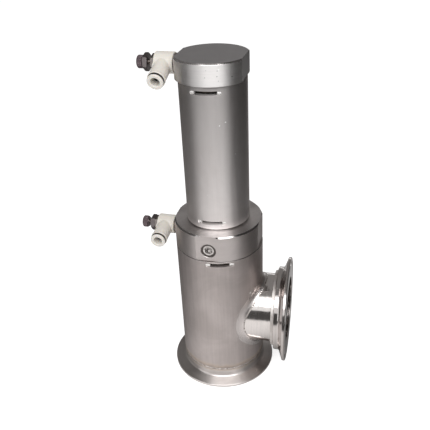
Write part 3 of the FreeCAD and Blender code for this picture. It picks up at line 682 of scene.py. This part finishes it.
def moulded(name, color, stain, **changes):
    look = {**mouldedLook, **changes}
    tree, place = startMaterial(name)
    smudge = effect(tree, "smudges", place, Scale=look["smudgeScale"], Spread=0.25)["Mask"]
    wear = effect(tree, "edgeWear", place, Reach=0.0003, Scale=700.0)["Mask"]
    color = layColor(tree, rgb(color), smudge, look["smudge"], rgb(stain))
    bump = addNode(tree, "ShaderNodeBump", {
        "Height": noiseNode(tree, place, 2500.0, 2.0), "Strength": 0.08, "Distance": 0.0001})
    addShader(tree, {
        "Base Color": layColor(tree, color, wear, look["wear"], rgb(look["edge"])),
        "Roughness": mapRange(tree, smudge, 0.0, 1.0, look["roughness"], look["roughness"] + 0.12),
        "Metallic": look["metallic"], "Subsurface Weight": look["translucency"],
        "Subsurface Radius": (0.8, 0.6, 0.4), "Subsurface Scale": 0.001,
        "Normal": bump.outputs[0]})


moulded("creamResin", (0.80, 0.76, 0.70), (0.70, 0.65, 0.58), translucency=0.15)
moulded("paleResin", (0.84, 0.81, 0.76), (0.70, 0.65, 0.58), roughness=0.3, translucency=0.15)
# painted shade: a near-black copy of the resin for recesses around the release ring
moulded("shadedResin", (0.10, 0.09, 0.085), (0.07, 0.065, 0.06), edge=(0.3, 0.28, 0.26),
        translucency=0.15)
moulded("nickelPlate", (0.36, 0.32, 0.30), (0.20, 0.17, 0.16), edge=(0.85, 0.82, 0.78),
        metallic=1.0, roughness=0.24, wear=0.5)
moulded("darkNickelPlate", (0.25, 0.22, 0.22), (0.12, 0.10, 0.10), edge=(0.75, 0.72, 0.7),
        metallic=1.0, roughness=0.28, wear=0.8)
# painted light: a lighter copy of the nut's dark plating for its outward faces
moulded("litNutFaceNickelPlate", (0.62, 0.585, 0.57), (0.25, 0.22, 0.21), edge=(0.85, 0.82, 0.78),
        smudge=0.7, smudgeScale=500.0, metallic=1.0, roughness=0.4, wear=0.6)
moulded("blackenedKnob", (0.175, 0.135, 0.145), (0.10, 0.08, 0.085), edge=(0.55, 0.48, 0.49),
        metallic=0.8, roughness=0.32, wear=0.9)
moulded("blackRubber", (0.035, 0.035, 0.037), (0.06, 0.058, 0.055), edge=(0.08, 0.08, 0.08),
        roughness=0.6)
moulded("darkSealant", (0.055, 0.044, 0.039), (0.10, 0.085, 0.075), edge=(0.2, 0.18, 0.16),
        roughness=0.5)
moulded("whiteFluoropolymer", (0.86, 0.85, 0.82), (0.80, 0.78, 0.73), roughness=0.42,
        translucency=0.3)
moulded("greyWasher", (0.22, 0.22, 0.22), (0.30, 0.29, 0.28), roughness=0.55)
moulded("springWire", (0.45, 0.44, 0.43), (0.30, 0.28, 0.27), edge=(0.6, 0.6, 0.6), metallic=1.0,
        roughness=0.3)
moulded("turnedAluminium", (0.82, 0.82, 0.83), (0.72, 0.72, 0.73), edge=(0.92, 0.92, 0.92),
        metallic=1.0, roughness=0.3)
moulded("bearingBronze", (0.66, 0.44, 0.22), (0.50, 0.31, 0.15), edge=(0.8, 0.62, 0.4),
        metallic=1.0, roughness=0.34)
print("moulded and plated materials made")


# Ferrules, body and branch

body = {"radius": 42.5, "bore": 38.5, "foot": 16.0, "rim": 149.95}
branch = {"radius": 35.0, "bore": 33.0, "height": 70.0, "end": 54.6, "face": 69.8, "ring": 57.4}
meeting = {"host": body["radius"], "tube": branch["radius"]}
drawnCollar = {**meeting, "leg": 4.0, "swell": 0.1, "spread": 1.5, "steps": 288}
tubeWeld = {**meeting, "leg": 0.75, "swell": 0.7, "shift": 4.3, "steps": 720,
            "ripple": (118, 0.2)}

# the clamp rim and its cone, which both ferrules have
ferruleRim = [(33.0, 0, 0.3), *arcCorners((48.5, -0.7), 2.3, 162.3, 17.7), (52.5, 0, 0.35),
              (53, 0.55, 0.35), (53, 2.5, 0.5), (52.6, 3.0, 0.5), (43.9, 6.17, 0.6),
              (42.9, 6.92, 0.8), (42.5, 8.07, 0.8)]


def inletFerrule():
    corners = [*ferruleRim, (42.5, 16), (36.5, 16), (33, 12.5)]
    makePiece("inletFerrule", turnedForm(corners, steps=240), "ferruleSteel", "polished_steel",
              "inlet_ferrule")


def outletFerrule():
    corners = [*ferruleRim, (42.5, 11.7, 0.4), (42.0, 12.2, 0.4), (38.5, 12.2),
               (38.5, 14.8, 0.3), (38.2, 15.2, 0.3), (33, 15.2)]
    place = Matrix.Translation((branch["face"] * mm, 0, branch["height"] * mm))
    place = place @ Matrix.Rotation(radians(-90), 4, "Y")
    piece = makePiece("outletFerrule", turnedForm(corners, steps=240), "hubSteel",
                      "polished_steel", "outlet_ferrule", place=place)
    paintWhere(piece, "weldRingSteel", lambda face: face.center.x < branch["ring"] * mm
               and abs(face.normal.x) < 0.8)


def branchTube():
    # from the round of the body out to the ferrule, the outside first and then the bore
    walls = [(branch["radius"], [0, 0.08, 0.2, 0.5, 0.85, 1.0]),
             (branch["bore"], [1.0, 0.7, 0.3, 0.0])]
    rings = []
    for angle in fullTurn(240):
        ring = []
        for radius, shares in walls:
            y, z = radius * cos(angle), radius * sin(angle)
            foot = sqrt(body["radius"] ** 2 - y ** 2)
            ring += [(foot + (branch["end"] - foot) * share, y, z + branch["height"])
                     for share in shares]
        rings.append(ring)
    makePiece("branchTube", ringForm(rings), "outletSteel", "polished_steel", "branch_tube")


def branchRoot():
    # drawn collar of the body, and the weld that joins the polished tube to it
    makePiece("branchCollar", beadForm(drawnCollar, branch["height"]), "rootSteel", "satin_steel",
              sharp=60)
    makePiece("branchWeld", beadForm(tubeWeld, branch["height"]), "weldSteel", "polished_steel",
              sharp=60)


def bodyTube():
    joint = wireJoints["bonnet"]
    corners = [(body["bore"], body["foot"]), (body["radius"], body["foot"]),
               (body["radius"], body["rim"], 0.55), (body["bore"], body["rim"], 0.3),
               *boreGroove(joint)]
    opening = roundTool(branch["bore"], 5, 60,
                        Matrix.Translation((0, 0, branch["height"] * mm)) @ alongX)
    piece = makePiece("bodyTube", turnedForm(corners, steps=240), "bodySteel", "satin_steel",
                      "body_tube", cuts=[opening, slotTool(body["radius"], joint)])
    # painted shade: the body's top rounding, at the joint under the collar
    paintRim(piece, "shadedRimSteel", 149.3, 149.94, 0.15, 0.98)


def ferruleWeld():
    # narrow ground seam between ferrule and body
    corners = [(42.3, 14.9), (42.52, 15.2), (42.62, 15.7), (42.62, 16.3), (42.52, 16.8),
               (42.3, 17.1)]
    makePiece("ferruleWeld", turnedForm(corners, steps=240), "weldSteel", "satin_steel", sharp=60)


for build in (inletFerrule, outletFerrule, branchTube, branchRoot, bodyTube, ferruleWeld):
    build()
print("body and branch made")


# Collar, barrel and cap

barrelRadius = 30.0
wire = {"gap": 17.4, "tip": 4.9, "bend": 1.8}  # between the tips, and along each tip


def milledFlats(port, turns):
    return [(turn + actuatorTurn, port["flatAt"]) for turn in turns]


def bonnetBody():
    # spigots below and above the collar, each with a seal groove and half a wire groove
    corners = [(15, 194.5), (15, 185), (10.4, 185), (10.4, 170), (13, 170), (13, 150),
               (10.4, 150), (10.4, 146), (30, 146), (30, 132), (37.6, 132, 0.2),
               (38.45, 132.8, 0.2), (38.45, 137), (35.6, 137), (35.6, 141), (38.45, 141),
               *spigotGroove(wireJoints["bonnet"]), (38.45, 150.5),
               (42.5, 150.5, 0.45), (42.5, 175.7, 0.35), (41.2, 177, 0.35), (24.95, 177),
               *spigotGroove(wireJoints["foot"]), (24.95, 188.4), (22.85, 188.4),
               (22.85, 192), (24.95, 192), (24.95, 193.5, 0.2), (23.95, 194.5, 0.2)]
    flats = milledFlats(ports["collar"], (-90, 0, 180))
    piece = makePiece("bonnetBody", turnedForm(corners, steps=200, flats=flats), "collarSteel",
                      "satin_steel", "bonnet",
                      cuts=[portTool(ports["collar"], (-1, 0, 0)),
                            portTool(ports["collar"], (0, -1, 0))])
    crispFlats(piece, flats)
    # painted shade: the collar's top chamfer
    paintRim(piece, "shadedRimSteel", 175.6, 176.99, 0.3, 0.95)
    # painted shade in both wire grooves of the collar
    paintGrooveShade(piece, wireJoints["bonnet"])
    paintGrooveShade(piece, wireJoints["foot"])
    # painted highlight: the collar's flat top gets the lighter collar steel
    paintRim(piece, "litCollarTopSteel", 176.8, 177.2, 0.9, 1.1)


def barrelTube():
    grooves = boreGroove(wireJoints["head"]) + boreGroove(wireJoints["foot"])
    corners = [(25.4, 177.5), (29.0, 177.5, 0.3), (barrelRadius, 178.5, 0.5),
               (barrelRadius, 312.6, 0.3), (29.4, 313.2, 0.3), (25.4, 313.2), *grooves]
    piece = makePiece("barrelTube", turnedForm(corners, steps=200), "barrelSteel", "satin_steel",
                      "barrel",
                      cuts=[slotTool(barrelRadius, wireJoints[end]) for end in ("foot", "head")])
    # painted shade: the barrel's foot chamfer, at its joint on the collar
    paintWhere(piece, "shadedRimSteel", lambda face: face.center.z < 178.6 * mm
               and face.center.xy.length > 28.8 * mm)


def capBody():
    corners = [(0, 297), (23.95, 297), (24.95, 298), (24.95, 299.6), (22.85, 299.6),
               (22.85, 303.2), (24.95, 303.2), *spigotGroove(wireJoints["head"]),
               (24.95, 313.5), (32.4, 313.5, 0.2), (33, 314.1, 0.4), (33, 331.6, 0.6),
               (31.8, 332.8, 0.6), (0, 332.8)]
    flats = milledFlats(ports["cap"], (0, 180))
    piece = makePiece("capBody", turnedForm(corners, steps=200, flats=flats), "capSteel",
                      "satin_steel", "end_cap", cuts=[portTool(ports["cap"], (-1, 0, 0))])
    crispFlats(piece, flats)
    # painted shade: the cap's up-facing faces get the darker cap steel
    paintWhere(piece, "shadedCapTopSteel", lambda face: face.normal.z > 0.9)
    # painted shade: the cap's top rounding gets the darker cap steel
    paintRim(piece, "shadedCapRimSteel", 331.5, 333, 0.3, 0.9)
    # painted shade in the cap's wire groove
    paintGrooveShade(piece, wireJoints["head"])
    # painted shade: the cap's flats, facing sideways, get the darker flat steel
    paintWhere(piece, "shadedCapFlatSteel", lambda face: abs(face.normal.x) > 0.99)


def lockWire(name, joint, node):
    # ring in its groove, its two tips turned out into the slot
    ring, steps = joint["ring"], 360
    reach = degrees(asin(wire["gap"] / 2 / ring))
    tip, bend = degrees(wire["tip"] / ring), degrees(wire["bend"] / ring)
    sweep = 360 - 2 * reach
    points = []
    for k in range(steps + 1):
        along = sweep * k / steps
        near = min(1.0, max(0.0, (tip - min(along, sweep - along)) / bend))
        near = near * near * (3 - 2 * near)
        angle = radians(joint["turn"] + reach + along)
        radius = ring + joint["lift"] * near
        points.append(Vector(polar(radius, angle, joint["height"])))
    makePiece(name, sweptWire(points, joint["wire"]), "wireSteel", "spring_steel", node, sharp=40)


def blankingPlug():
    corners = [(0, -10), (5.6, -10), (6.5, -9.1), (6.5, -2.1, 0.2), (5.35, -0.9, 0.25), (0, -0.9)]
    port = ports["collar"]
    place = clampTurn @ Matrix.Translation((0, -port["flatAt"] * mm, port["height"] * mm))
    place = place @ Matrix.Rotation(radians(90), 4, "X")
    keyTool = turnedForm([(0, -5.4), (3.0, -5.4), (4.4, -5.0), (4.4, 1), (0, 1)], steps=144,
                         flats=[(60 * i + 8, 3.5) for i in range(6)])
    piece = makePiece("blankingPlug", turnedForm(corners), "plugSteel", "dark_nickel",
                      "blanking_plug", place=place, cuts=[asObject("keyTool", keyTool, place)])
    middle = place.translation
    # painted shade and glints: the faces inside the key socket get the near-black socket steel
    paintWhere(piece, "socketSteel", lambda face: (face.center - middle).length < 6.2 * mm
               and face.center.y > middle.y + 1.3 * mm)
    corners = [(5.1, -2.4), (6.98, -2.4), (7.3, -0.45, 0.2), (6.7, -0.3, 0.3),
               (5.2, -0.75, 0.2), (5.1, -1.2)]
    makePiece("plugSealant", turnedForm(corners), "darkSealant", "black_rubber", place=place)


for build in (bonnetBody, barrelTube, capBody, blankingPlug):
    build()
lockWire("bonnetWire", wireJoints["bonnet"], "bonnet_lock_wire")
lockWire("footWire", wireJoints["foot"], "barrel_lock_wire")
lockWire("headWire", wireJoints["head"], "end_cap_lock_wire")
print("collar, barrel and cap made")


# Flow-control fittings

elbow = {"hub": 9.25, "bore": 6.25, "socket": 7.6, "socketHeight": 13.0}
fillet = {"host": elbow["hub"], "tube": elbow["socket"], "leg": 1.3, "swell": -0.25,
          "spread": 1.0, "steps": 96}
needleThread = {"radius": 2.53, "depth": 0.28, "pitch": 0.5, "start": 13.6, "end": 36.1}
bushHexagon = {"acrossFlats": 13, "bore": 2.6, "chamfer": 0.5}
nutHexagon = {"acrossFlats": 14, "bore": 2.6, "chamfer": 0.7}
knobFlutes = {"above": 5.0, "count": 24, "depth": 0.38}


def fittingPlace(port, droop):
    # the stud's axis is Z and the socket's is X, which droops from level
    droop = radians(droop)
    outward = Vector((-1, 0, 0))
    socket = Vector((0, -cos(droop), -sin(droop)))
    turned = Matrix((socket, outward.cross(socket), outward)).transposed().to_4x4()
    return clampTurn @ Matrix.Translation((-port["flatAt"] * mm, 0, port["height"] * mm)) @ turned


def socketPlace(place):
    return place @ Matrix.Translation((0, 0, elbow["socketHeight"] * mm)) @ alongX


def elbowBody(name, place):
    hub = turnedForm([(6.25, 3.5), (8.9, 3.5, 0.3), (9.25, 3.9, 0.3), (9.25, 20.2, 0.4),
                      (8.85, 20.6, 0.4), (6.25, 20.6)])
    makePiece(name + "Ring", hub, "creamResin", "cream_resin", name + "_body", rides=name,
              place=place)
    tube = turnedForm([(2.2, 5.5), (7.6, 5.5), (7.6, 9), (7.55, 22.6, 0.6), (7.9, 23.8, 0.6),
                       (7.9, 25.1, 0.3), (7.4, 25.6, 0.25), (7.0, 25.55), (5.7, 25.3, 0.1),
                       (5.35, 24.9), (5.35, 24.6), (6.2, 23.8), (6.2, 19.2), (5.4, 19.2),
                       (5.4, 18.4), (5.8, 18.4), (5.8, 14.8), (4.1, 14.8), (4.1, 11.6),
                       (2.2, 11.6)])
    tube = makePiece(name + "Socket", tube, "creamResin", "cream_resin", rides=name,
                     place=socketPlace(place), cuts=[roundTool(elbow["bore"], 0, 30, place)])
    makePiece(name + "Fillet", beadForm(fillet, elbow["socketHeight"]), "creamResin",
              "cream_resin", rides=name, place=place)
    axis = socketPlace(place).to_3x3() @ Vector((0, 0, 1))
    mouth = (socketPlace(place) @ Vector((0, 0, 25.2 * mm))).dot(axis)
    # painted shade: the socket's end faces around its mouth get the dark resin
    paintWhere(tube, "shadedResin", lambda face: face.center.dot(axis) > mouth
               and face.normal.dot(axis) > 0.93)


def releaseRing(name, place):
    place = socketPlace(place)
    skirt = turnedForm([(4.05, 21.8), (5.2, 21.8), (5.75, 22.3), (5.75, 22.9), (5.2, 23.2),
                        (5.2, 27.4), (4.05, 27.4)])
    # painted shade: the skirt behind the release ring is the dark resin, and its bore keeps the
    # pale one
    skirt = makePiece(name + "ReleaseSkirt", skirt, "shadedResin", "cream_resin",
                      rides=name + "_release", place=place)
    axis = place.to_3x3() @ Vector((0, 0, 1))
    middle = place.translation
    paintWhere(skirt, "paleResin",
               lambda face: (face.center - middle).cross(axis).length < 4.2 * mm)
    corners = [(4.05, 27.3), (6.9, 27.3, 0.3), (7.2, 27.7, 0.3), (7.2, 28.9, 0.5),
               (6.7, 29.4, 0.5), (4.7, 29.4, 0.5), (4.05, 28.8, 0.5)]
    makePiece(name + "ReleaseRing", turnedForm(corners), "paleResin", "cream_resin",
              name + "_release_ring", rides=name + "_release", place=place)


def studBody(name, place):
    corners = [(3.0, -9.5), (5.7, -9.5), (6.5, -8.7), (6.5, 0.3), (6.0, 0.5), (6.0, 0.9),
               (8.1, 0.9, 0.15), (8.4, 1.3, 0.15), (8.4, 2.5, 0.15), (8.1, 2.9, 0.15), (6.2, 2.9),
               (6.2, 5.8), (5.3, 5.8), (5.3, 7.4), (6.2, 7.4), (6.2, 17.8), (5.3, 17.8),
               (5.3, 19.4), (6.2, 19.4), (6.2, 20.6), (4.6, 20.6), (4.6, 14), (3.0, 14),
               (3.0, 5.8), (1.8, 4.6), (1.8, 3.6), (3.0, 2.4)]
    makePiece(name + "Stud", turnedForm(corners), "nickelPlate", "nickel", name + "_stud",
              place=place)


def needleRod(name, place):
    tip = turnedForm([(0, 6.2), (0.6, 6.2), (1.7, 9.4), (1.7, 12.6), (2.4, 13.6), (0, 13.6)],
                     steps=48)
    makePiece(name + "NeedleTip", tip, "nickelPlate", "nickel", rides=name + "_needle",
              place=place)
    makePiece(name + "Needle", threadForm(needleThread), "nickelPlate", "nickel", name + "_needle",
              rides=name + "_needle", place=place, sharp=50)


def bushAndNut(name, place, nutAt):
    makePiece(name + "HexBush", hexForm(bushHexagon, 20.7, 23.8), "nickelPlate", "nickel",
              name + "_hex_bush", place=place, sharp=24)
    nut = makePiece(name + "LockNut", hexForm(nutHexagon, nutAt, nutAt + 3.9), "darkNickelPlate",
                    "dark_nickel", name + "_lock_nut", rides=name + "_lock_nut", place=place,
                    sharp=24)
    outward = (place.to_3x3() @ Vector((0, 0, 1))).normalized()
    # painted light: the nut's faces turned outward get the lighter plating
    paintWhere(nut, "litNutFaceNickelPlate", lambda face: face.normal.dot(outward) > 0.3)


def knobBody(name, place):
    corners = [(2.58, 31.2), (4.7, 31.2, 0.2), (4.7, 32.0, 0.2), (5.3, 32.3, 0.2),
               (5.75, 32.8, 0.3), (5.75, 36.6, 0.3), (5.05, 37.3, 0.3), (0, 37.3), (0, 36.15),
               (2.58, 36.15)]
    makePiece(name + "Knob", turnedForm(corners, steps=288, flutes=knobFlutes), "blackenedKnob",
              "dark_knob", name + "_knob", rides=name + "_knob", place=place, sharp=40)


for name, port, droop, nutAt in (("upper", ports["cap"], 18.0, 27.1),
                                 ("lower", ports["collar"], 6.0, 23.85)):
    place = fittingPlace(port, droop)
    elbowBody(name + "_elbow", place)
    releaseRing(name, place)
    studBody(name, place)
    needleRod(name, place)
    bushAndNut(name, place, nutAt)
    knobBody(name, place)
print("flow-control fittings made")


# Soft pieces inside

spring = {"low": 217.13, "high": 295.87, "turns": 9, "closed": 4.65, "radius": 19.5,
          "wire": 2.25, "groundLow": 218.27, "groundHigh": 294.73}


def returnSpring():
    # one closed turn at each end, held within the ground ends
    turns, closed = spring["turns"], spring["closed"]
    rise = (spring["high"] - spring["low"] - 2 * closed) / (turns - 2)
    turnSteps = 32
    points = []
    for i in range(turns * turnSteps + 1):
        t = i / turnSteps
        z = spring["low"] + closed * (min(t, 1) + max(t - turns + 1, 0))
        z += rise * min(max(t - 1, 0), turns - 2)
        z = min(max(z, spring["groundLow"]), spring["groundHigh"])
        points.append(Vector(polar(spring["radius"], 2 * pi * t, z)))
    piece = makePiece("returnSpringCoil", sweptWire(points, spring["wire"], 14), "springWire",
                      "spring_steel", "return_spring", sharp=50)
    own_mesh(piece)


def diaphragmDisc():
    # the clamped rim, and inside it the cone, which gets a mesh of its own
    rim = [(31.0, 129.0), (38.2, 129, 0.3), (38.2, 132, 0.3), (31.0, 132.0)]
    makePiece("diaphragmRim", turnedForm(rim, steps=144), "blackRubber", "black_rubber")
    cone = [(6.1, 109.5), (14.5, 109.5, 0.6), (16.6, 111.3, 0.8), (29.0, 126.8, 1.2),
            (30.6, 129, 0.6), (31.6, 129.2), (31.6, 131.8), (29.6, 132, 0.8),
            (28, 130.4, 1.2), (14.8, 113.8, 0.8), (14.1, 112.5), (6.1, 112.5)]
    piece = makePiece("diaphragmDisc", turnedForm(cone, steps=144), "blackRubber", "black_rubber",
                      "diaphragm")
    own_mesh(piece)


returnSpring()
diaphragmDisc()
print("soft pieces made")


# Finishes of the pieces carried over from model.glb

carried = {
    "spring_steel": "springWire", "aluminium": "turnedAluminium", "black_rubber": "blackRubber",
    "white_ptfe": "whiteFluoropolymer", "bronze": "bearingBronze", "nickel": "nickelPlate",
    "dark_nickel": "darkNickelPlate", "cream_resin": "creamResin", "dark_knob": "blackenedKnob",
    "grey_washer": "greyWasher",
}
for node in nodes.values():
    for slot in node.material_slots:
        kind = slot.material.name.split(".")[0] if slot.material else "satin_steel"
        slot.material = materials[carried.get(kind, "brightSteel")]
print("carried-over pieces finished")


# Studio, in metres

darkCards = {
    "leftCard": ((-0.24, -0.17, 0), (-0.24, 0.65, 1.5), 0.15),
    "rightCard": ((0.26, -0.18, 0), (0.26, 0.6, 1.5), 0.07),
    "backCard": ((-0.24, 0.6, 0.1), (0.26, 0.6, 1.5), 0.24),
    "topCard": ((-0.24, -0.5, 1.5), (0.26, 0.6, 1.5), 0.24),
    "lowCard": ((-0.5, -1.1, 0), (0.6, -1.1, 0.52), 0.08),
}


def paperMaterial(name, color, glow, strength):
    # glow is a colour, or a function that makes one
    tree, place = startMaterial(name)
    if callable(glow):
        glow = glow(tree, place)
    addShader(tree, {"Base Color": rgb(color), "Roughness": 0.9, "Specular IOR Level": 0.0,
                     "Emission Color": glow, "Emission Strength": strength})


def seenByLens(tree, place=None):
    # one where the camera, a mirror or a clear piece looks, and zero for light on the valve
    path = tree.nodes.new("ShaderNodeLightPath").outputs
    seen = mathNode(tree, "MAXIMUM", path["Is Camera Ray"], path["Is Glossy Ray"])
    return mathNode(tree, "MAXIMUM", seen, path["Is Transmission Ray"])


def sweepGlow(tree, place):
    # brightest in front of the valve, fading round it and into the distance
    heading = vectorNode(tree, "NORMALIZE", 0, place)
    facing = vectorNode(tree, "DOT_PRODUCT", "Value", heading, (-0.139, -0.990, 0))
    frontShare = mathNode(tree, "POWER", mapRange(tree, facing, -0.5, 1.0), 1.9)
    around = mathNode(tree, "MULTIPLY_ADD", frontShare, 0.88, 0.14)
    reach = vectorNode(tree, "LENGTH", "Value", place)
    fade = mapRange(tree, reach, 0.28, 0.60, 1.0, 0.10, smooth=True)
    behind = mapRange(tree, facing, -0.6, -0.95, 0.0, 0.26)
    level = mathNode(tree, "MULTIPLY_ADD", around, fade, behind)
    return joinColor(tree, level, times(tree, level, 0.98), times(tree, level, 0.97))


def sheet(name, low, high, look, seen=True):
    # flat sheet between two corners that share one coordinate. One that isn't seen shows in
    # mirrors only, so that the steel picks up dark and bright bands.
    first, second = [axis for axis in range(3) if low[axis] != high[axis]]
    corners = []
    for one, other in ((low, low), (high, low), (high, high), (low, high)):
        corner = list(low)
        corner[first], corner[second] = one[first], other[second]
        corners.append(corner)
    mesh = bpy.data.meshes.new(name)
    mesh.from_pydata(corners, [], [(0, 1, 2, 3)])
    mesh.materials.append(materials[look])
    made = addObject(name, mesh)
    made.visible_camera = made.visible_diffuse = seen
    made.visible_shadow = made.visible_transmission = seen


def keyLight(azimuth, elevation, distance, size, radiance):
    azimuth, elevation = radians(azimuth), radians(elevation)
    aim = Vector((0.01, 0, 0.15))
    spot = aim + Vector(polar(cos(elevation), azimuth, sin(elevation))) * distance
    light = bpy.data.lights.new("keyLight", "AREA")
    light.shape = "RECTANGLE"
    light.size, light.size_y = size
    light.energy = pi * size[0] * size[1] * radiance
    made = addObject("keyLight", light)
    made.location = spot
    made.rotation_euler = (aim - spot).to_track_quat("-Z", "Y").to_euler()


def studioWorld(room):
    # dim light on the valve from all sides, and plain white wherever a lens looks
    world = bpy.data.worlds.new("studio")
    scene.world = world
    world.use_nodes = True
    tree = world.node_tree
    tree.nodes.clear()
    sky = addNode(tree, "ShaderNodeBackground", {"Color": (1, 0.99, 0.98, 1), "Strength": room})
    backdrop = addNode(tree, "ShaderNodeBackground", {"Color": (1, 1, 1, 1), "Strength": 1.0})
    both = addNode(tree, "ShaderNodeMixShader", {0: seenByLens(tree), 1: sky.outputs[0],
                                                 2: backdrop.outputs[0]})
    addNode(tree, "ShaderNodeOutputWorld", {0: both.outputs[0]})


studioWorld(room=0.46)
keyLight(azimuth=-80, elevation=50, distance=1.2, size=(1.1, 0.6), radiance=4.1)
paperMaterial("floorPaper", (0.93, 0.93, 0.93), seenByLens, 0.58)
sheet("floor", (-6, -6, -0.0001), (6, 6, -0.0001), "floorPaper")
for name, (low, high, level) in darkCards.items():
    paperMaterial(name, (0, 0, 0), (1, 0.97, 0.95, 1), level)
    sheet(name, low, high, name, seen=False)
paperMaterial("sweepPaper", (0, 0, 0), sweepGlow, 1.0)
sheet("sweepCard", (-1.1, -1.1, 0.0004), (1.1, 0.6, 0.0004), "sweepPaper", seen=False)
print("studio made")


# Camera at the photograph's angle

eye = Vector((0.10362, -0.47908, 0.46185))
right = Vector((0.97994, 0.19510, -0.04054))
upward = Vector((-0.06391, 0.50039, 0.86344))
away = Vector((0.18874, -0.84353, 0.50282))
lens = bpy.data.cameras.new("photoCamera")
lens.lens = 49.17
lens.sensor_width = 36.0
camera = addObject("photoCamera", lens)
turned = Matrix((right, upward, away)).transposed().to_4x4()
camera.matrix_world = Matrix.Translation(eye) @ turned
scene.camera = camera
scene.view_settings.view_transform = "Standard"
